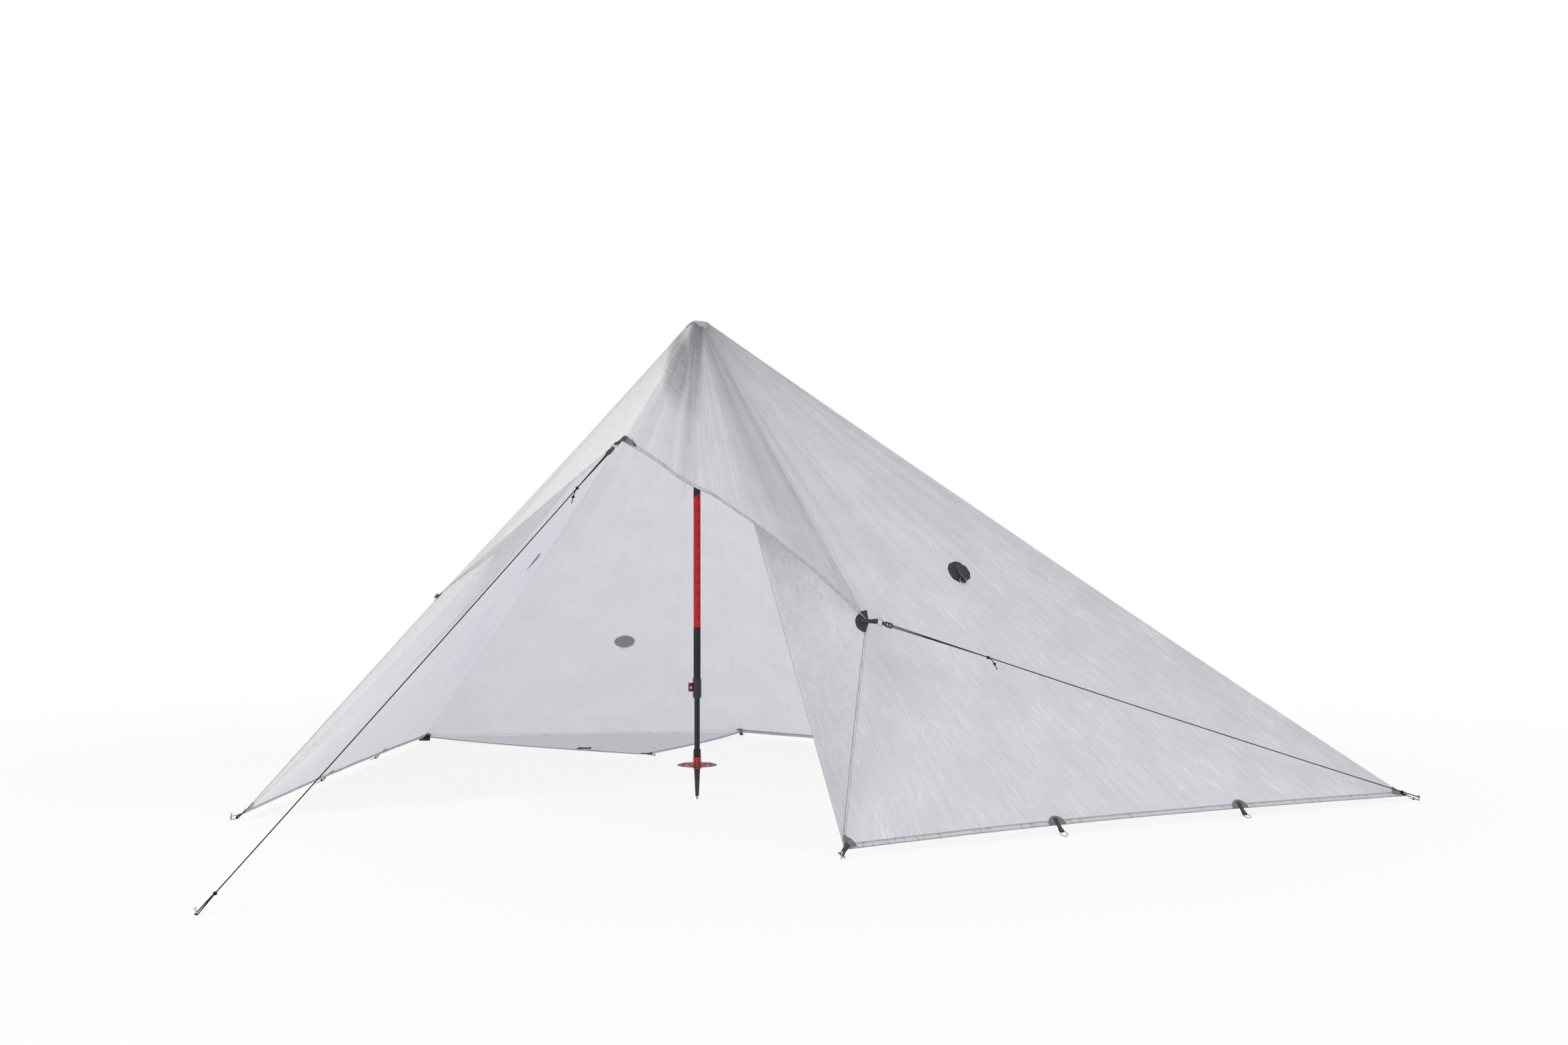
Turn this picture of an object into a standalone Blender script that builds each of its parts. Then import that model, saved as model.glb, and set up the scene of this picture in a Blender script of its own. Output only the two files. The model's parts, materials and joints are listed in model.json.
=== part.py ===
"""Square camping tarp pitched over one trekking pole.

The sheet hangs from the pole's grip. Its right and left fronts are folded back as doors, one
corner is tucked in as a ground flap, and its hem is held down by rings over short nail pegs.
Metres, +Z up. The pole's point stands at the origin, +X is to the right of the doorway and the
doorway looks towards -Y.
"""
import bmesh
import bpy
from math import acos, asin, atan2, cos, pi, radians, sin, sqrt, tan
from mathutils import Matrix, Vector

# Pitch: how far it reaches from the pole, and where the sheet is held
PITCH_HEIGHT = 1.200
RIGHT_REACH = 1.773
LEFT_REACH = 1.055
BACK_REACH = 1.409
FRONT_REACH = 1.467
APEX_ROUNDING = 0.014
FRONT_POINT = Vector((-0.148, -0.520, 0.885))
RIGHT_LAPEL = Vector((0.409, -0.520, 0.476))
LEFT_LAPEL = Vector((-0.650, 0.002, 0.509))
RIGHT_DOOR_FOOT = Vector((0.345, -0.845, 0.0150))
RIGHT_CORNER = Vector((RIGHT_REACH, -0.020, 0.0115))
BACK_RIGHT_FOOT = Vector((0.081, BACK_REACH, 0.0120))
BACK_LEFT_FOOT = Vector((-0.9055, BACK_REACH - 0.130, 0.0120))
LEFT_CORNER = Vector((-LEFT_REACH, -0.320, 0.0127))
FLAP_TIP = Vector((-0.188, 0.912, 0.0012))
FRONT_PEG = Vector((-0.840, -FRONT_REACH, 0.0))

# Sheet
SHEET_T = 0.0008
HEM_T = 0.0014
HEM_W = 0.018
GAP = 0.0003
CAP_R = 0.0275
CAP_T = 0.0010
FOLD_DEPTH = 0.006
TOP_R = CAP_R + 2 * GAP
LAP_OFFSET = (HEM_T + GAP) / 2 + 0.0002
LAP_INSET = 0.0015
FOOT_FOLD_HALF = radians(24.0)

# Tie-outs: patch, webbing loop and ring
PATCH_R = 0.024
CORNER_PATCH_R = 0.042
FOOT_PATCH_R = 0.034
PANEL_PATCH_R = 0.030
PATCH_T = 0.0006
WEB_W = 0.010
WEB_T = 0.0018
WEB_TAIL = 0.018
WEB_REACH = 0.018
LOOP_WALL = 0.0011
RING_R = 0.009
RING_WIRE_R = 0.001

# Pegs: the length that stands above the ground
PEG_R = 0.0015
PEG_HEAD_R = 0.0033
PEG_HEAD_T = 0.0018
PEG_H = 0.014
TALL_PEG_H = 0.017
FLAP_PEG_H = 0.024
FRONT_PEG_H = 0.016
FRONT_PEG_LEAN = 14.0

# Guylines and line-locks
CORD_R = 0.0010
STRAND_SPREAD = 0.0022
KNOT_R = 0.0042
FRONT_KNOT_AT = 0.125
RIGHT_KNOT_AT = 0.250
PEG_LOOP_L = 0.052
FRONT_LOOP_Z = 0.0035
RIGHT_LOOP_Z = 0.0085
LOCK_L = 0.024
LOCK_W = 0.013
LOCK_T = 0.0034
LOCK_NOSE_W = 0.006

# Trekking pole
UPPER_SHAFT_R = 0.0090
UPPER_SHAFT_WALL = 0.0010
LOWER_SHAFT_R = 0.0070
SLEEVE_TOP = 0.0768
SLEEVE_R = 0.0074
POINT_L = 0.014
BASKET_TOP = 0.107
BASKET_R = 0.050
BASKET_T = 0.0020
BASKET_SKIRT_UP = 0.010
BASKET_HUB_WALL = 0.0030
COLLAR_TOP = 0.127
CLAMP_BOTTOM = 0.254
CLAMP_TOP = 0.309
CLAMP_WALL = 0.0013
CLAMP_R = UPPER_SHAFT_R + GAP + CLAMP_WALL
CLAMP_CHAMFER = 0.0015
CLAMP_SEAT = 0.016
CLAMP_SLANT_DROP = 0.0045
CLAMP_SLANT = radians(12.0)
LOWER_SHAFT_TOP = 0.470
BUSH_L = 0.030
GRIP_BOTTOM = 0.945
GRIP_R = 0.0175
GRIP_HEAD_R = 0.0130
STRAP_W = 0.018
STRAP_T = 0.0018
STRAP_HALF_WIDE = 0.022
STRAP_HALF_TALL = 0.070

# Derived heights
APEX = Vector((0.0, 0.0, PITCH_HEIGHT + APEX_ROUNDING))
GRIP_TOP = PITCH_HEIGHT - CAP_T - GAP
FOOT_INSET = SHEET_T / 2 / tan(FOOT_FOLD_HALF) + GAP / 2 / sin(FOOT_FOLD_HALF) + GAP / 3
LOOP_IN_R = (RING_R - sqrt(RING_R ** 2 - (WEB_W / 2) ** 2)) / 2 + RING_WIRE_R + 1.4 * GAP
LOOP_OUT_R = LOOP_IN_R + LOOP_WALL
LOOP_N = LOOP_OUT_R + GAP / 6
RING_OFFSET = RING_R - (RING_R - sqrt(RING_R ** 2 - (WEB_W / 2) ** 2)) / 2
RING_TO_PEG = RING_R - RING_WIRE_R - GAP - PEG_R


def start_scene():
    """Empty scene with one collection for the parts and one for construction shapes."""
    for old in list(bpy.data.objects):
        bpy.data.objects.remove(old, do_unlink=True)
    parts = bpy.data.collections.new("camping_tarp")
    helpers = bpy.data.collections.new("cutters")
    for group in (parts, helpers):
        bpy.context.scene.collection.children.link(group)
    return parts, helpers


PARTS, CUTTERS = start_scene()


def material(name, colour, roughness, metallic=0.0):
    made = bpy.data.materials.new(name)
    made.use_nodes = True
    shader = made.node_tree.nodes["Principled BSDF"]
    shader.inputs["Base Color"].default_value = (*colour, 1.0)
    shader.inputs["Roughness"].default_value = roughness
    shader.inputs["Metallic"].default_value = metallic
    return made


SHEET = material("sheet_fabric", (0.62, 0.62, 0.66), 0.45)
PATCH = material("patch_fabric", (0.035, 0.035, 0.04), 0.6)
STEEL = material("ring_steel", (0.55, 0.54, 0.52), 0.3, 1.0)
BRASS = material("peg_brass", (0.62, 0.47, 0.22), 0.35, 1.0)
CORD = material("guyline_cord", (0.02, 0.02, 0.022), 0.7)
BLACK = material("black_moulding", (0.02, 0.02, 0.022), 0.4)
RED = material("red_paint", (0.55, 0.02, 0.03), 0.35)
FOAM = material("grip_foam", (0.03, 0.03, 0.032), 0.85)


def unit(vector):
    return vector.normalized()


def mesh_object(name, bm, paint, smooth_angle=40.0):
    """Turn a bmesh into a named part with its faces pointing out."""
    bmesh.ops.recalc_face_normals(bm, faces=bm.faces)
    mesh = bpy.data.meshes.new(name)
    bm.to_mesh(mesh)
    bm.free()
    mesh.shade_smooth()
    mesh.set_sharp_from_angle(angle=radians(smooth_angle))
    return place_mesh(name, mesh, paint)


def place_mesh(name, mesh, paint, matrix=None):
    part = bpy.data.objects.new(name, mesh)
    if not mesh.materials:
        mesh.materials.append(paint)
    if matrix is not None:
        part.matrix_world = matrix
    PARTS.objects.link(part)
    return part


def helper_object(name, mesh, matrix=None):
    guide = bpy.data.objects.new(name, mesh)
    if matrix is not None:
        guide.matrix_world = matrix
    guide.hide_render = True
    guide.display_type = "WIRE"
    CUTTERS.objects.link(guide)
    return guide


def bmesh_to_mesh(name, bm):
    bmesh.ops.recalc_face_normals(bm, faces=bm.faces)
    mesh = bpy.data.meshes.new(name)
    bm.to_mesh(mesh)
    bm.free()
    return mesh


def curve_to_mesh(name, curve):
    """Evaluate a curve, weld its caps, and drop the curve."""
    shape = bpy.data.objects.new(name + "_curve", curve)
    CUTTERS.objects.link(shape)
    bpy.context.view_layer.update()
    evaluated = shape.evaluated_get(bpy.context.evaluated_depsgraph_get())
    mesh = bpy.data.meshes.new_from_object(evaluated)
    bpy.data.objects.remove(shape, do_unlink=True)
    bm = bmesh.new()
    bm.from_mesh(mesh)
    bmesh.ops.remove_doubles(bm, verts=bm.verts, dist=0.00002)
    bmesh.ops.recalc_face_normals(bm, faces=bm.faces)
    bm.to_mesh(mesh)
    bm.free()
    return mesh


def plate_mesh(name, outlines, thickness):
    """Flat closed outlines in XY, the first outside and the others holes, centred on Z."""
    curve = bpy.data.curves.new(name, "CURVE")
    curve.dimensions = "2D"
    curve.fill_mode = "BOTH"
    curve.extrude = thickness / 2
    for outline in outlines:
        spline = curve.splines.new("POLY")
        spline.points.add(len(outline) - 1)
        for point, (x, y) in zip(spline.points, outline):
            point.co = (x, y, 0.0, 1.0)
        spline.use_cyclic_u = True
    return curve_to_mesh(name, curve)


def tube_mesh(name, points, radius, closed=False, resolution=2):
    curve = bpy.data.curves.new(name, "CURVE")
    curve.dimensions = "3D"
    curve.bevel_depth = radius
    curve.bevel_resolution = resolution
    curve.use_fill_caps = True
    spline = curve.splines.new("POLY")
    spline.points.add(len(points) - 1)
    for point, co in zip(spline.points, points):
        point.co = (*co, 1.0)
    spline.use_cyclic_u = closed
    return curve_to_mesh(name, curve)


def turned(name, profile, paint, steps=32):
    """Turn a profile of (radius, height) pairs, outer side first from top to bottom, about Z."""
    bm = bmesh.new()
    corners = [bm.verts.new((r, 0.0, z)) for r, z in profile]
    for first, second in zip(corners, corners[1:] + corners[:1]):
        if first.co.x > 0 or second.co.x > 0:
            bm.edges.new((first, second))
    mesh = bpy.data.meshes.new(name)
    bm.to_mesh(mesh)
    bm.free()
    part = place_mesh(name, mesh, paint)
    screw = part.modifiers.new("turn", "SCREW")
    screw.steps = steps
    screw.render_steps = steps
    screw.use_merge_vertices = True
    screw.merge_threshold = 0.00001
    screw.use_smooth_shade = True
    return part


def union(target_mesh, others, name):
    """Join meshes into one closed body."""
    body = helper_object(name + "_body", target_mesh)
    for index, other in enumerate(others):
        tool = helper_object(f"{name}_tool_{index}", other)
        joint = body.modifiers.new(f"join_{index}", "BOOLEAN")
        joint.operation = "UNION"
        joint.solver = "EXACT"
        joint.object = tool
    bpy.context.view_layer.update()
    evaluated = body.evaluated_get(bpy.context.evaluated_depsgraph_get())
    joined = bpy.data.meshes.new_from_object(evaluated)
    joined.name = name
    for shape in [body] + [o for o in CUTTERS.objects if o.name.startswith(name + "_tool_")]:
        bpy.data.objects.remove(shape, do_unlink=True)
    joined.materials.clear()
    return joined


def cut(part, cutter_mesh, name):
    """Leave a live Boolean cut on a part."""
    tool = helper_object(name, cutter_mesh)
    hole = part.modifiers.new(name, "BOOLEAN")
    hole.operation = "DIFFERENCE"
    hole.solver = "EXACT"
    hole.object = tool
    return hole


def cylinder(radius, depth, matrix, segments=24, top_radius=None):
    bm = bmesh.new()
    bmesh.ops.create_cone(
        bm,
        cap_ends=True,
        segments=segments,
        radius1=radius,
        radius2=radius if top_radius is None else top_radius,
        depth=depth,
        matrix=matrix,
    )
    return bmesh_to_mesh("cylinder", bm)


def box(centre, size):
    bm = bmesh.new()
    matrix = Matrix.Translation(centre) @ Matrix.Diagonal((*size, 1.0))
    bmesh.ops.create_cube(bm, size=1.0, matrix=matrix)
    return bmesh_to_mesh("box", bm)


def frame_at(origin, forward, up):
    """Matrix with X along forward, Z as near to up as it can be, and the given origin."""
    x = unit(forward)
    y = unit(up.cross(x))
    z = x.cross(y)
    matrix = Matrix((x, y, z)).transposed().to_4x4()
    matrix.translation = origin
    return matrix


# The sheet: straight folds run from the apex to each held point. Gravity draws some of them down.
SAG = {
    "front": (FRONT_POINT, 0.006),
    "right_lapel": (RIGHT_LAPEL, 0.006),
    "right_door": (RIGHT_DOOR_FOOT, 0.004),
    "right_corner": (RIGHT_CORNER, 0.010),
    "back_right": (BACK_RIGHT_FOOT, 0.016),
    "back_left": (BACK_LEFT_FOOT, 0.016),
    "left_corner": (LEFT_CORNER, 0.040),
    "left_lapel": (LEFT_LAPEL, 0.004),
}
AROUND = list(SAG)

# Folds that are pressed almost flat, so that their two panels lie on each other
LAPPED = ("left_corner", "left_lapel")


def fold_point(name, share):
    """Point on the fold from the apex to a held point, at a share of its length."""
    foot, sag = SAG[name]
    point = APEX.lerp(foot, share)
    point.z -= sag * 4 * share * (1 - share)
    return point


def fold_inset(name):
    """How far the two panels of a fold stay back from it, so that their corners clear."""
    if name in LAPPED:
        return LAP_INSET
    index = AROUND.index(name)
    axis = unit(SAG[name][0] - APEX)
    sides = []
    for step in (-1, 1):
        side = SAG[AROUND[(index + step) % len(AROUND)]][0] - APEX
        sides.append(unit(side - axis * side.dot(axis)))
    half = acos(max(-1.0, min(1.0, sides[0].dot(sides[1])))) / 2
    return HEM_T / 2 / tan(half) + GAP / 2 / sin(half) + GAP / 2


class Panel:
    """One gore of the sheet, between two folds, seen from its outer side."""

    def __init__(self, name, left, right, outward, billow, folds, bow, columns, rows=10,
                 trims=(0.0, 0.0), start=1.0, hem=True, foot_inset=0.0, depth=FOLD_DEPTH,
                 skew=1.0, laps=(0, 0)):
        self.name = name
        self.sides = (left, right)
        self.feet = (SAG[left][0], SAG[right][0])
        self.billow = billow
        self.folds = folds
        self.depth = depth
        self.skew = skew
        self.laps = laps
        self.bow = bow
        self.columns = columns
        self.rows = rows
        self.start = start
        self.hem = hem
        self.foot_inset = foot_inset
        self.ends = [1 - trim / (foot - APEX).length for foot, trim in zip(self.feet, trims)]
        across = (self.feet[0] - APEX).cross(self.feet[1] - APEX)
        self.normal = unit(across if across.dot(outward) > 0 else -across)
        self.length = (self.feet[0].lerp(self.feet[1], 0.5) - APEX).length

    def flat(self, u, v):
        """Place between the two folds, at u across from the left one and v down from the top."""
        begin = self.start * TOP_R / self.feet[0].lerp(self.feet[1], u).to_2d().length
        end = self.ends[0] * (1 - u) + self.ends[1] * u
        share = begin + (end - begin) * v
        return fold_point(self.sides[0], share).lerp(fold_point(self.sides[1], share), u)

    def point(self, u, v):
        """Middle of the cloth: the flat gore with its hem's bow, its billow and its folds."""
        here = self.flat(u, v)
        here += unit(APEX - here) * self.bow * 4 * u * (1 - u) * v ** 3
        down = sin(pi * min(1.0, v))
        inward = self.billow * sin(pi * u) * down
        inward += self.depth * (0.5 - 0.5 * cos(2 * pi * self.folds * u ** self.skew)) * down
        lap = LAP_OFFSET * (self.laps[0] * (1 - u) + self.laps[1] * u)
        return here - self.normal * (inward - lap)

    def row_share(self, row):
        """Rows are even down to the hem band, which is the last row."""
        last = 1 - self.foot_inset / self.length
        if not self.hem:
            return last * row / self.rows
        band = last - HEM_W / self.length
        return last if row == self.rows else band * row / (self.rows - 1)

    def edge_share(self, side, v):
        """Part of a row that keeps this panel's edge back from the fold."""
        step = 0.02
        u, move = ((0.0, step), (1.0, -step))[side]
        axis = unit(self.feet[side] - APEX)
        drift = (self.flat(u + move, v) - self.flat(u, v)).cross(axis).length
        return fold_inset(self.sides[side]) * step / drift

    def build(self):
        bm = bmesh.new()
        bmesh.ops.create_grid(bm, x_segments=self.columns, y_segments=self.rows, size=0.5)
        in_hem = []
        for vert in bm.verts:
            row = round((vert.co.y + 0.5) * self.rows)
            v = self.row_share(row)
            low, high = self.edge_share(0, v), 1 - self.edge_share(1, v)
            vert.co = self.point(low + (high - low) * (vert.co.x + 0.5), v)
            in_hem.append(self.hem and row >= self.rows - 1)
        bm.normal_update()
        facing = sum((face.normal for face in bm.faces), Vector())
        if facing.dot(self.normal) < 0:
            bmesh.ops.reverse_faces(bm, faces=bm.faces)
        mesh = bpy.data.meshes.new(self.name)
        bm.to_mesh(mesh)
        bm.free()
        mesh.shade_smooth()
        part = place_mesh(self.name, mesh, SHEET)
        band = part.vertex_groups.new(name="hem")
        for index, thick in enumerate(in_hem):
            band.add([index], 1.0 if thick else 0.0, "REPLACE")
        shell = part.modifiers.new("cloth", "SOLIDIFY")
        shell.thickness = HEM_T
        shell.offset = 0.0
        shell.vertex_group = "hem"
        shell.thickness_vertex_group = SHEET_T / HEM_T
        return part


UP = Vector((0, 0, 1))
FRONTWARD = Vector((0, -1, 0))
LEFTWARD = Vector((-1, 0, 0))
PANELS = {
    panel.name: panel
    for panel in (
        Panel("canopy_right", "front", "right_lapel", UP, 0.006, 2, 0.034, 10,
              trims=(0.0, 0.028)),
        Panel("door_flap_right", "right_lapel", "right_door", FRONTWARD, 0.002, 1, 0.005, 5,
              trims=(0.0, 0.045), start=2.0),
        Panel("wall_right", "right_door", "right_corner", FRONTWARD, 0.012, 3, 0.012, 15,
              skew=0.877),
        Panel("wall_back_right", "right_corner", "back_right", Vector((1, 1, 0)), 0.020, 4,
              0.012, 16),
        Panel("wall_back", "back_right", "back_left", Vector((0, 1, 0)), 0.016, 2, 0.0, 10,
              hem=False, foot_inset=FOOT_INSET, skew=0.856),
        Panel("wall_left", "back_left", "left_corner", LEFTWARD, 0.014, 4, 0.012, 16,
              laps=(0, -1)),
        Panel("door_flap_left", "left_corner", "left_lapel", LEFTWARD, 0.003, 1, 0.005, 5,
              trims=(0.060, 0.0), start=2.0, depth=0.002, laps=(1, -1)),
        Panel("canopy_left", "left_lapel", "front", UP, 0.001, 2, 0.012, 10,
              trims=(0.028, 0.0), depth=-0.004, laps=(1, 0)),
    )
}


def ground_flap():
    """The corner folded in under the back wall, lying on the ground."""
    back = [BACK_LEFT_FOOT, BACK_RIGHT_FOOT]
    inward = unit(FLAP_TIP - back[0].lerp(back[1], 0.5))
    columns, rows = 10, 6
    bm = bmesh.new()
    bmesh.ops.create_grid(bm, x_segments=columns, y_segments=rows, size=0.5)
    for vert in bm.verts:
        u, v = vert.co.x + 0.5, vert.co.y + 0.5
        share = 0.02 + 0.96 * u
        fold = back[0].lerp(back[1], share) + inward * FOOT_INSET
        here = fold.lerp(FLAP_TIP, 0.97 * v)
        sink = (back[0].z - FLAP_TIP.z) * (1 - (1 - v) ** 3)
        here.z = back[0].z - sink + 0.003 * u * u * sin(pi * v) * sin(3 * pi * u) ** 2
        vert.co = here
    bm.normal_update()
    if sum((face.normal for face in bm.faces), Vector()).z < 0:
        bmesh.ops.reverse_faces(bm, faces=bm.faces)
    mesh = bpy.data.meshes.new("ground_flap")
    bm.to_mesh(mesh)
    bm.free()
    mesh.shade_smooth()
    part = place_mesh("ground_flap", mesh, SHEET)
    shell = part.modifiers.new("cloth", "SOLIDIFY")
    shell.thickness = SHEET_T
    shell.offset = 0.0
    return part


def top_height(angle):
    """Height of the outermost gore round the apex, on the circle where the gores start."""
    heading = Vector((cos(angle), sin(angle)))
    best = []
    for panel in PANELS.values():
        if panel.start > 1:
            continue
        near, far = (fold_point(side, 0.03) - APEX for side in panel.sides)
        span = near.x * far.y - near.y * far.x
        first = (heading.x * far.y - heading.y * far.x) / span
        second = (near.x * heading.y - near.y * heading.x) / span
        if first >= -0.01 and second >= -0.01:
            best.append(APEX.z + CAP_R * (first * near.z + second * far.z))
    return max(best)


def apex_cap():
    """Domed reinforcement over the grip, where all the folds meet."""
    around, rings = 28, 4
    heights = [top_height(2 * pi * step / around) for step in range(around)]
    bm = bmesh.new()
    layers = []
    for lower in (0.0, CAP_T):
        layer = [[bm.verts.new((0.0, 0.0, PITCH_HEIGHT - lower))]]
        for ring in range(1, rings + 1):
            share = ring / rings
            row = []
            for step in range(around):
                angle = 2 * pi * step / around
                drop = (PITCH_HEIGHT - heights[step]) * share ** 2.2
                place = (CAP_R * share * cos(angle), CAP_R * share * sin(angle))
                row.append(bm.verts.new((*place, PITCH_HEIGHT - drop - lower)))
            layer.append(row)
        layers.append(layer)
    for layer in layers:
        for step in range(around):
            after = (step + 1) % around
            bm.faces.new((layer[0][0], layer[1][step], layer[1][after]))
            for inner, outer in zip(layer[1:], layer[2:]):
                bm.faces.new((inner[step], outer[step], outer[after], inner[after]))
    for step in range(around):
        after = (step + 1) % around
        top, low = layers[0][-1], layers[1][-1]
        bm.faces.new((top[step], low[step], low[after], top[after]))
    mesh_object("apex_cap", bm, SHEET)


# Tie-outs. Local X is the direction of pull, Y runs along the hem and Z points off the sheet.
def sector_outline(radius, half_angle):
    """Rounded patch that spreads back from the held point; a full circle at 180 degrees."""
    half = radians(half_angle)
    steps = max(6, round(half_angle / 9))
    arc = []
    for step in range(steps + 1):
        angle = pi - half + 2 * half * step / steps
        arc.append((radius * cos(angle), radius * sin(angle)))
    if half_angle >= 180:
        return arc[:-1]
    return arc + [(0.0, 0.0)] if half_angle < 90 else arc


def webbing_profile(hollow):
    """Side view of the doubled strap and its loop, in X and Z."""
    centre = (WEB_REACH, LOOP_N)
    low, high = PATCH_T - GAP / 3, PATCH_T + WEB_T
    first = asin((centre[1] - low) / LOOP_OUT_R) if centre[1] - low < LOOP_OUT_R else pi / 2
    last = asin(max(-1.0, min(1.0, (high - centre[1]) / LOOP_OUT_R)))
    steps = 10
    arc = []
    begin = -pi + first
    end = pi - last
    for step in range(steps + 1):
        angle = begin + (end - begin) * step / steps
        arc.append((centre[0] + LOOP_OUT_R * cos(angle), centre[1] + LOOP_OUT_R * sin(angle)))
    outline = [(-WEB_TAIL, low)] + arc + [(-WEB_TAIL, high)]
    if not hollow:
        return [outline]
    hole = []
    for step in range(10):
        angle = 2 * pi * step / 10
        reach = LOOP_IN_R / cos(pi / 10)
        hole.append((centre[0] + reach * cos(angle), centre[1] + reach * sin(angle)))
    return [outline, hole]


def ring_mesh(centre, along, matrix=None):
    """Split-ring torus in the plane of local Y and the direction along."""
    bm = bmesh.new()
    wire = tube_mesh(
        "ring_wire",
        [
            centre
            + along * RING_R * cos(2 * pi * step / 18)
            + Vector((0, 1, 0)) * RING_R * sin(2 * pi * step / 18)
            for step in range(18)
        ],
        RING_WIRE_R,
        closed=True,
        resolution=1,
    )
    bm.from_mesh(wire)
    if matrix is not None:
        bmesh.ops.transform(bm, matrix=matrix, verts=bm.verts)
    return bmesh_to_mesh("ring", bm)


TIE_MESHES = {}


def tie_mesh(patch_radius, half_angle, ring_angle=None):
    """Patch and webbing as one body; with a ring angle, the sewn-in ring is part of it."""
    key = (round(patch_radius, 6), round(half_angle, 3), ring_angle)
    if key in TIE_MESHES:
        return TIE_MESHES[key]
    patch = plate_mesh("patch", [sector_outline(patch_radius, half_angle)], PATCH_T)
    patch.transform(Matrix.Translation((0, 0, PATCH_T / 2)))
    strap = plate_mesh("strap", webbing_profile(ring_angle is None), WEB_W)
    strap.transform(Matrix.Rotation(pi / 2, 4, "X"))
    tools = [strap]
    if ring_angle is not None:
        along = Vector((cos(ring_angle), 0.0, sin(ring_angle)))
        hinge = Vector((WEB_REACH, 0.0, LOOP_N))
        tools.append(ring_mesh(hinge + along * RING_OFFSET, along))
    TIE_MESHES[key] = union(patch, tools, f"tie_{len(TIE_MESHES)}")
    return TIE_MESHES[key]


def tie_out(name, frame, patch_radius=PATCH_R, half_angle=90.0, ring_angle=None):
    mesh = tie_mesh(patch_radius, half_angle, ring_angle)
    return place_mesh(name, mesh, PATCH, frame)


def ground_ring_angle(frame, floor=0.0):
    """Turn of a ring about local Y so that its far side just clears what it lies on."""
    hinge = frame @ Vector((WEB_REACH, 0.0, LOOP_N))
    far = RING_OFFSET + RING_R
    x_axis, z_axis = frame.col[0].xyz, frame.col[2].xyz
    target = (floor + RING_WIRE_R + GAP - hinge.z) / far
    reach = sqrt(x_axis.z ** 2 + z_axis.z ** 2)
    lead = atan2(x_axis.z, z_axis.z)
    return asin(max(-1.0, min(1.0, target / reach))) - lead


def level_ring_angle(frame):
    """Turn of a ring about local Y so that its centre is level with the webbing loop."""
    return atan2(-frame.col[0].z, frame.col[2].z)


def ring_direction(frame, angle):
    return unit(frame.col[0].xyz * cos(angle) + frame.col[2].xyz * sin(angle))


def loose_ring(name, frame, angle):
    """Separate steel ring, with its origin on the webbing loop that it turns in."""
    along = Vector((cos(angle), 0.0, sin(angle)))
    mesh = ring_mesh(along * RING_OFFSET, along)
    hinge = frame @ Matrix.Translation((WEB_REACH, 0.0, LOOP_N))
    mesh.shade_smooth()
    return place_mesh(name, mesh, STEEL, hinge)


def ring_centre(frame, angle):
    hinge = frame @ Vector((WEB_REACH, 0.0, LOOP_N))
    return hinge + ring_direction(frame, angle) * RING_OFFSET


def off_sheet(point, normal):
    return point + normal * (HEM_T / 2 + GAP)


def ridge_frame(foot, heading=None):
    """Tie-out on top of a fold that runs down to its held point."""
    forward = unit(heading if heading else foot - APEX)
    side = unit(Vector((0, 0, 1)).cross(forward))
    up = forward.cross(side)
    return frame_at(off_sheet(foot, up), forward, up)


def hem_frame(panel_name, u):
    """Tie-out at a place along a panel's hem, pulling straight down the slope."""
    panel = PANELS[panel_name]
    here = panel.point(u, 1.0)
    hem = unit(panel.point(u + 0.02, 1.0) - panel.point(u - 0.02, 1.0))
    forward = panel.normal.cross(hem)
    if forward.z > 0:
        forward = -forward
    return frame_at(off_sheet(here, panel.normal), forward, panel.normal)


def face_frame(panel_name, foot, forward, sink=0.0):
    """Tie-out lying on a panel's outer face at one of its held points."""
    normal = PANELS[panel_name].normal
    flat = unit(forward - normal * forward.dot(normal))
    return frame_at(off_sheet(foot - normal * sink, normal), flat, normal)


def panel_frame(panel_name, u, v):
    """Tie-out in the middle of a panel, with its ring down the slope."""
    panel = PANELS[panel_name]
    here = panel.point(u, v)
    across = unit(panel.point(u + 0.03, v) - panel.point(u - 0.03, v))
    down = unit(panel.point(u, v + 0.03) - panel.point(u, v - 0.03))
    normal = unit(across.cross(down))
    if normal.dot(panel.normal) < 0:
        normal = -normal
    slope = Vector((0, 0, -1)) + normal * normal.z
    return frame_at(here + normal * (SHEET_T / 2 + PANEL_LIFT), slope, normal)


PANEL_LIFT = 0.0007


def nail(name, spot, height, lean=0.0):
    """Nail peg: its shank stands on the ground, leaning to the left, with a flat head on top."""
    profile = [
        (0.0, height),
        (PEG_HEAD_R * 0.85, height),
        (PEG_HEAD_R, height - PEG_HEAD_T * 0.3),
        (PEG_HEAD_R, height - PEG_HEAD_T),
        (PEG_R, height - PEG_HEAD_T * 1.4),
        (PEG_R, 0.0),
        (0.0, 0.0),
    ]
    peg = turned(name, profile, BRASS, 12)
    peg.location = (spot.x, spot.y, PEG_R * sin(radians(lean)))
    peg.rotation_euler = (0.0, -radians(lean), 0.0)


def peg_through(name, frame, angle, height=PEG_H):
    """Peg just inside the far side of a ring."""
    direction = ring_direction(frame, angle)
    centre = ring_centre(frame, angle)
    level = direction.to_2d().length
    heading = Vector((direction.x, direction.y, 0.0)).normalized()
    spot = centre + heading * (RING_R * level - RING_WIRE_R - GAP - PEG_R)
    spot.z = 0.0
    nail(name, spot, height)
    return spot


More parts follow.
